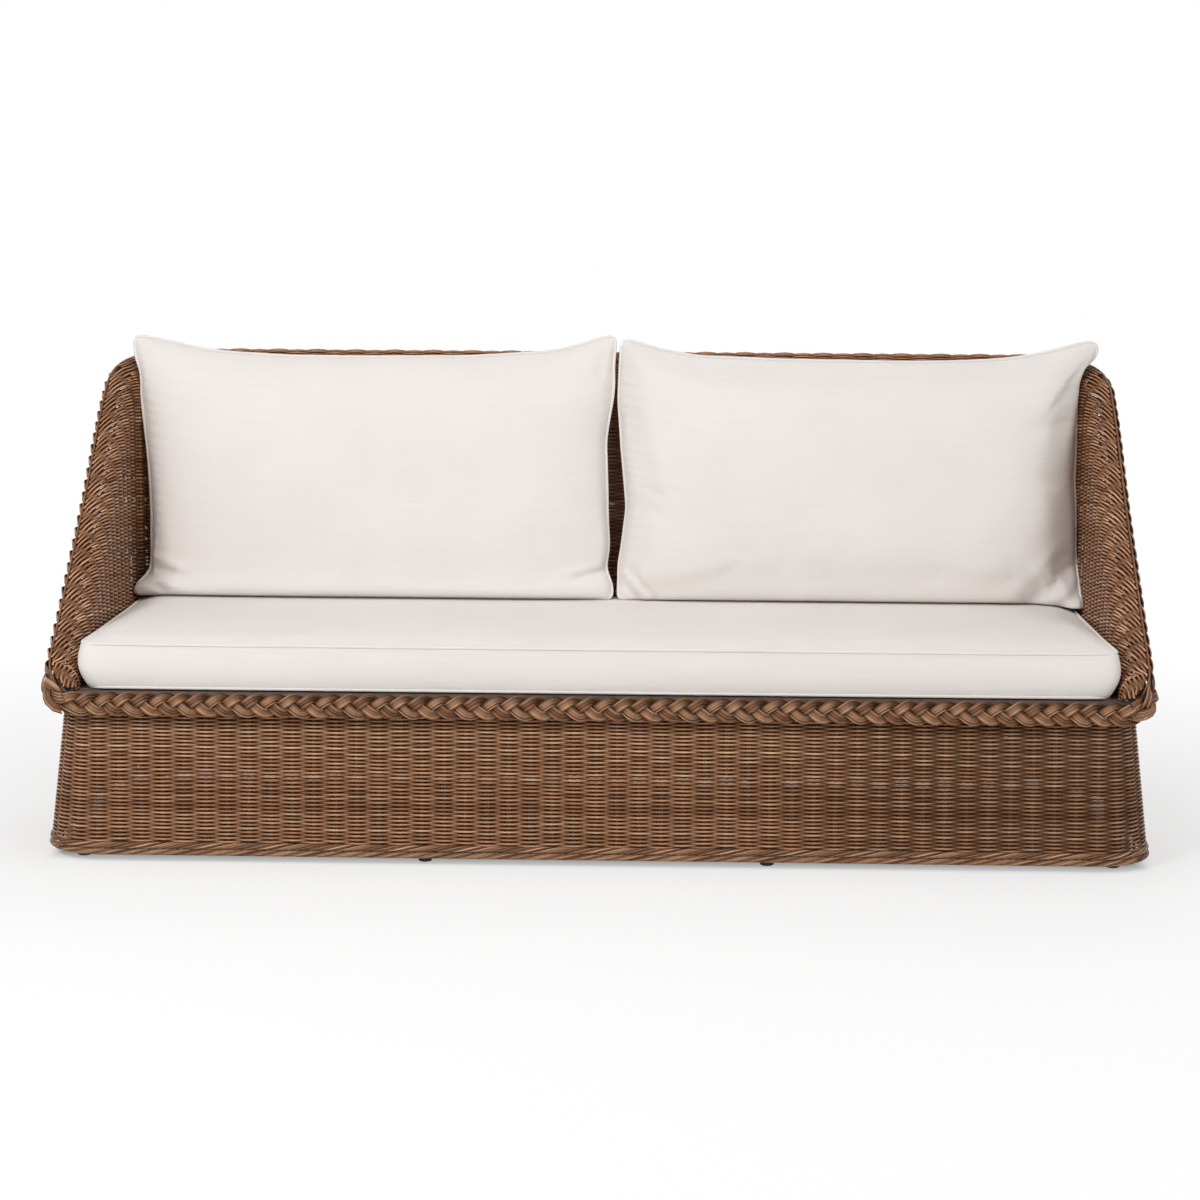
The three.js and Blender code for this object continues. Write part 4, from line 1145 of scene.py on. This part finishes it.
for name, seam in (("seat_welt_top", top_seam), ("seat_welt_low", low_seam)):
    path = in_order(points, seam, across, up)
    path[:, 2] = np.maximum(path[:, 2], seat_floor + 0.0035)
    welt(name, path, radius=0.003, body="seat_cushion")

# %% [markdown]
# ## The back cushions
#
# Two big pillows with a knife edge: front and back meet in one piped seam. A pillow is thick in
# the middle and thin at its edge, its sides draw in between the corners, and its corners stand
# out as ears. No two are alike, so each has its own outline, and its own few folds where the
# lower corners are crushed against the seat. The right one's outer ear also turns forward.

# %% Pillow form
pillow_base, pillow_depth = 0.4416, 0.100
pillow_low = pillow_base - 0.010
pillow_steps = (120, 64)
cloth_half, cloth_rise = 0.53, 0.275
corner_round = 0.016
seam_ahead, pillow_lean = 0.112, 0.33
foot_forward, foot_reach = 0.032, 0.06
ear_x, ear_width, ear_height = 1.02, 0.06, 0.05
wall_at_base = back_inner - back_lean * (back_top - pillow_base)


def keep_inside(points, gap):
    """Hold points inside the woven wall, where they are lower than the rim."""
    x, y, z = points.T
    rolled = np.clip((z - (back_top - roll_height)) / roll_height, 0, 1)
    extra = roll_width * (1 - np.sqrt(1 - rolled**2)) - gap
    half = seat_half + arm_lean * (z - deck_z) + extra
    back = back_inner - back_lean * (back_top - z) + extra
    radius = back_radius + extra
    over_x = np.maximum(np.abs(x) - (half - radius), 0)
    over_y = np.maximum(y - (back - radius), 0)
    pull = np.minimum(1, radius / np.maximum(np.hypot(over_x, over_y), 1e-9))
    pull = np.where(z > back_top, 1, pull)
    new_x = np.sign(x) * (np.abs(x) - over_x * (1 - pull))
    return np.column_stack([new_x, y - over_y * (1 - pull), np.maximum(z, pillow_base - 0.0003)])


def smooth_line(place, knots):
    """A smooth line through measured knots (place, value)."""
    knots = np.array(knots, float)
    fine = np.linspace(knots[0, 0], knots[-1, 0], 400)
    value = np.interp(fine, knots[:, 0], knots[:, 1])
    soft = np.exp(-((np.arange(-15, 16) / 5.0) ** 2))
    padded = np.concatenate([np.full(15, value[0]), value, np.full(15, value[-1])])
    return np.interp(place, fine, np.convolve(padded, soft / soft.sum(), "valid"))


def pillow_form(across, up, side, edges):
    """Points of a pillow from the shares of its cloth; side is -1 in front and 1 behind.

    The edges are its left and right outline (height, x) and its top (share across, height).
    """
    left, right, top = edges
    z = pillow_low + (smooth_line(across, top) - 0.003 - pillow_low) * (up + 1) / 2
    x0, x1 = smooth_line(z, left), smooth_line(z, right)
    x = x0 + (x1 - x0) * (across + 1) / 2
    over_x = np.maximum(corner_round - (1 - np.abs(across)) * (x1 - x0) / 2, 0)
    over_z = np.maximum(corner_round - (1 - np.abs(up)) * cloth_rise, 0)
    pull = rounded(over_x, over_z)
    x = x - np.sign(across) * over_x * (1 - pull)
    z = z - np.sign(up) * over_z * (1 - pull)
    full = (1 - np.abs(across) ** 6.0) ** 0.52 * (1 - np.abs(up) ** 4.0) ** 0.52
    seam_y = wall_at_base - seam_ahead + pillow_lean * (z - pillow_base)
    seam_y -= foot_forward * np.exp(-((z - pillow_low) / foot_reach) ** 2)
    return np.column_stack([x, seam_y + side * (pillow_depth - 0.006) * full, z])


def folds(x, z, lines):
    """Folds in the cloth: each is (x, z) to (x, z), its width and how far it stands out."""
    height = np.zeros_like(x)
    for x0, z0, x1, z1, width, proud in lines:
        long = math.hypot(x1 - x0, z1 - z0)
        t = ((x - x0) * (x1 - x0) + (z - z0) * (z1 - z0)) / long**2
        aside = ((x - x0) * (z1 - z0) - (z - z0) * (x1 - x0)) / long
        beyond = np.maximum(np.abs(t - 0.5) - 0.5, 0) * long
        height += proud * np.exp(-(aside / width) ** 2 - (beyond / (2.2 * width)) ** 2)
    return height


def gather(piece):
    """Short puckers where the stitching draws the cloth in along the side seams."""
    pitch, tall, deep, hem = 0.021, 0.0017, 0.022, 0.004
    mesh = piece.data
    spots = read_vectors(mesh.vertices, "co")
    across, up, _ = read_vectors(mesh.attributes["thread"].data, "vector").T
    reach = cloth_half - np.abs(across)
    turn = up / pitch * 2 * HALF_TURN + 1.6 * np.sin(up * 31) + 1.1 * np.sin(up * 57 + across)
    height = tall * np.exp(-reach / deep) * (1 - np.exp(-reach / hem))
    spots[:, 1] += height * np.sin(turn) * np.where(across < 0, 1, 0.7)
    mesh.vertices.foreach_set("co", spots.ravel())


# %% Make the pillows
def make_pillow(name, body, edges, lines, curl):
    """A pillow with its outline and folds. curl is how far its low outer ear turns forward."""
    form, _ = cloth_grid(*pillow_steps)
    across, up, level = read_layers(form, ("across", "up", "level")).T
    points = pillow_form(across, up, np.where(level == 2, 1, -1), edges)
    near_ear = np.exp(-((np.abs(points[:, 0]) - ear_x) / ear_width) ** 2)
    points[:, 1] -= curl * near_ear * np.exp(-((points[:, 2] - pillow_base) / ear_height) ** 2)
    points = keep_inside(points, gap=0.006)
    thread = np.column_stack([across * cloth_half, up * cloth_rise, 0 * up])
    piece, shares = cover(name, form, points, thread, body)
    across, up, level = shares.T
    rim = at_edge(across, up)
    inside = np.minimum((1 - np.abs(across)) * cloth_half, (1 - np.abs(up)) * cloth_rise)
    cap = 0.003 + 0.011 * (1 - np.exp(-inside / 0.03))
    points = puff(piece, pressure=4.0, slack=0.022, cap=cap[:, None])
    points[:, 1] -= folds(points[:, 0], points[:, 2], lines) * ((level == 0) & ~rim)
    points = keep_inside(points, gap=0.005)
    seam = np.flatnonzero(rim)
    settle(piece, points, seam, crease=0.8)
    gather(piece)
    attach(piece, body)
    path = keep_inside(in_order(points, seam, across, up), gap=0.009)
    path[:, 2] = np.maximum(path[:, 2], pillow_base + 0.0034)
    welt(name + "_welt", path, radius=0.0036, body=body)


left_edges = (
    [(0.427, -1.012), (0.445, -1.022), (0.458, -1.024), (0.469, -1.016), (0.480, -0.984),
     (0.53, -0.983), (0.605, -0.984), (0.67, -0.990), (0.738, -0.999), (0.828, -1.015),
     (0.926, -1.033), (1.0, -1.047)],
    [(0.427, 0.018), (0.47, 0.020), (0.503, 0.002), (0.547, 0.009), (0.611, 0.002),
     (0.712, -0.002), (0.771, -0.005), (0.82, 0.002), (0.862, 0.010), (0.943, 0.017), (1.0, 0.022)],
    [(-1, 0.995), (-0.963, 0.992), (-0.85, 0.980), (-0.72, 0.964), (-0.59, 0.957), (-0.37, 0.951),
     (-0.09, 0.9505), (0.4, 0.953), (0.69, 0.9625), (0.77, 0.9685), (0.855, 0.981), (0.92, 0.993),
     (0.97, 1.001), (1, 0.999)],
)
right_edges = (
    [(0.427, 0.027), (0.47, 0.029), (0.513, 0.028), (0.537, 0.033), (0.59, 0.039),
     (0.63, 0.044), (0.70, 0.037), (0.756, 0.031), (0.81, 0.027), (0.854, 0.023), (0.93, 0.025),
     (1.0, 0.028)],
    [(0.427, 1.024), (0.452, 1.024), (0.475, 1.016), (0.52, 1.018), (0.57, 1.021), (0.62, 1.019),
     (0.70, 1.016), (0.782, 1.024), (0.841, 1.031), (0.886, 1.041), (0.934, 1.062), (0.964, 1.069),
     (1.0, 1.075)],
    [(-1, 0.993), (-0.96, 0.990), (-0.91, 0.982), (-0.82, 0.970), (-0.67, 0.957), (-0.3, 0.951),
     (0.2, 0.948), (0.41, 0.950), (0.53, 0.953), (0.61, 0.956), (0.71, 0.963), (0.83, 0.977),
     (0.92, 0.991), (0.97, 0.996), (1, 0.993)],
)
left_lines = [
    (-1.010, 0.455, -0.996, 0.458, 0.013, 0.018), (-0.992, 0.478, -0.950, 0.462, 0.0055, -0.012),
    (-1.000, 0.462, -0.972, 0.450, 0.0050, -0.010), (-0.978, 0.488, -0.925, 0.470, 0.0080, 0.008),
    (-0.980, 0.504, -0.915, 0.486, 0.0075, -0.009), (-0.975, 0.520, -0.915, 0.505, 0.010, 0.005),
    (-0.985, 0.455, -0.955, 0.448, 0.0050, 0.006), (0.004, 0.502, -0.055, 0.486, 0.007, -0.010),
    (0.000, 0.514, -0.070, 0.500, 0.009, 0.006), (-0.005, 0.985, -0.012, 0.930, 0.012, -0.006),
    (-0.93, 0.93, -0.97, 0.96, 0.03, -0.003),
]
right_lines = [
    (0.905, 0.450, 0.985, 0.510, 0.012, -0.007), (0.945, 0.452, 1.000, 0.492, 0.010, 0.008),
    (0.962, 0.440, 1.010, 0.474, 0.008, -0.008), (0.985, 0.440, 1.015, 0.458, 0.006, 0.007),
    (0.070, 0.450, 0.040, 0.482, 0.0055, -0.012), (0.088, 0.450, 0.046, 0.494, 0.006, 0.008),
    (0.105, 0.450, 0.052, 0.506, 0.006, -0.009), (0.935, 0.812, 0.985, 0.818, 0.016, -0.004),
    (1.005, 0.935, 1.035, 0.965, 0.018, -0.007), (0.870, 0.470, 0.95, 0.545, 0.018, 0.006),
]
make_pillow("pillow_left", "back_cushion_left", left_edges, left_lines, curl=0.0)
make_pillow("pillow_right", "back_cushion_right", right_edges, right_lines, curl=0.065)

# %% Finish
boxes = {"cad": cad_box, "visual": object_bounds()}
{k: [list(map(float, corner)) for corner in v] for k, v in boxes.items()}
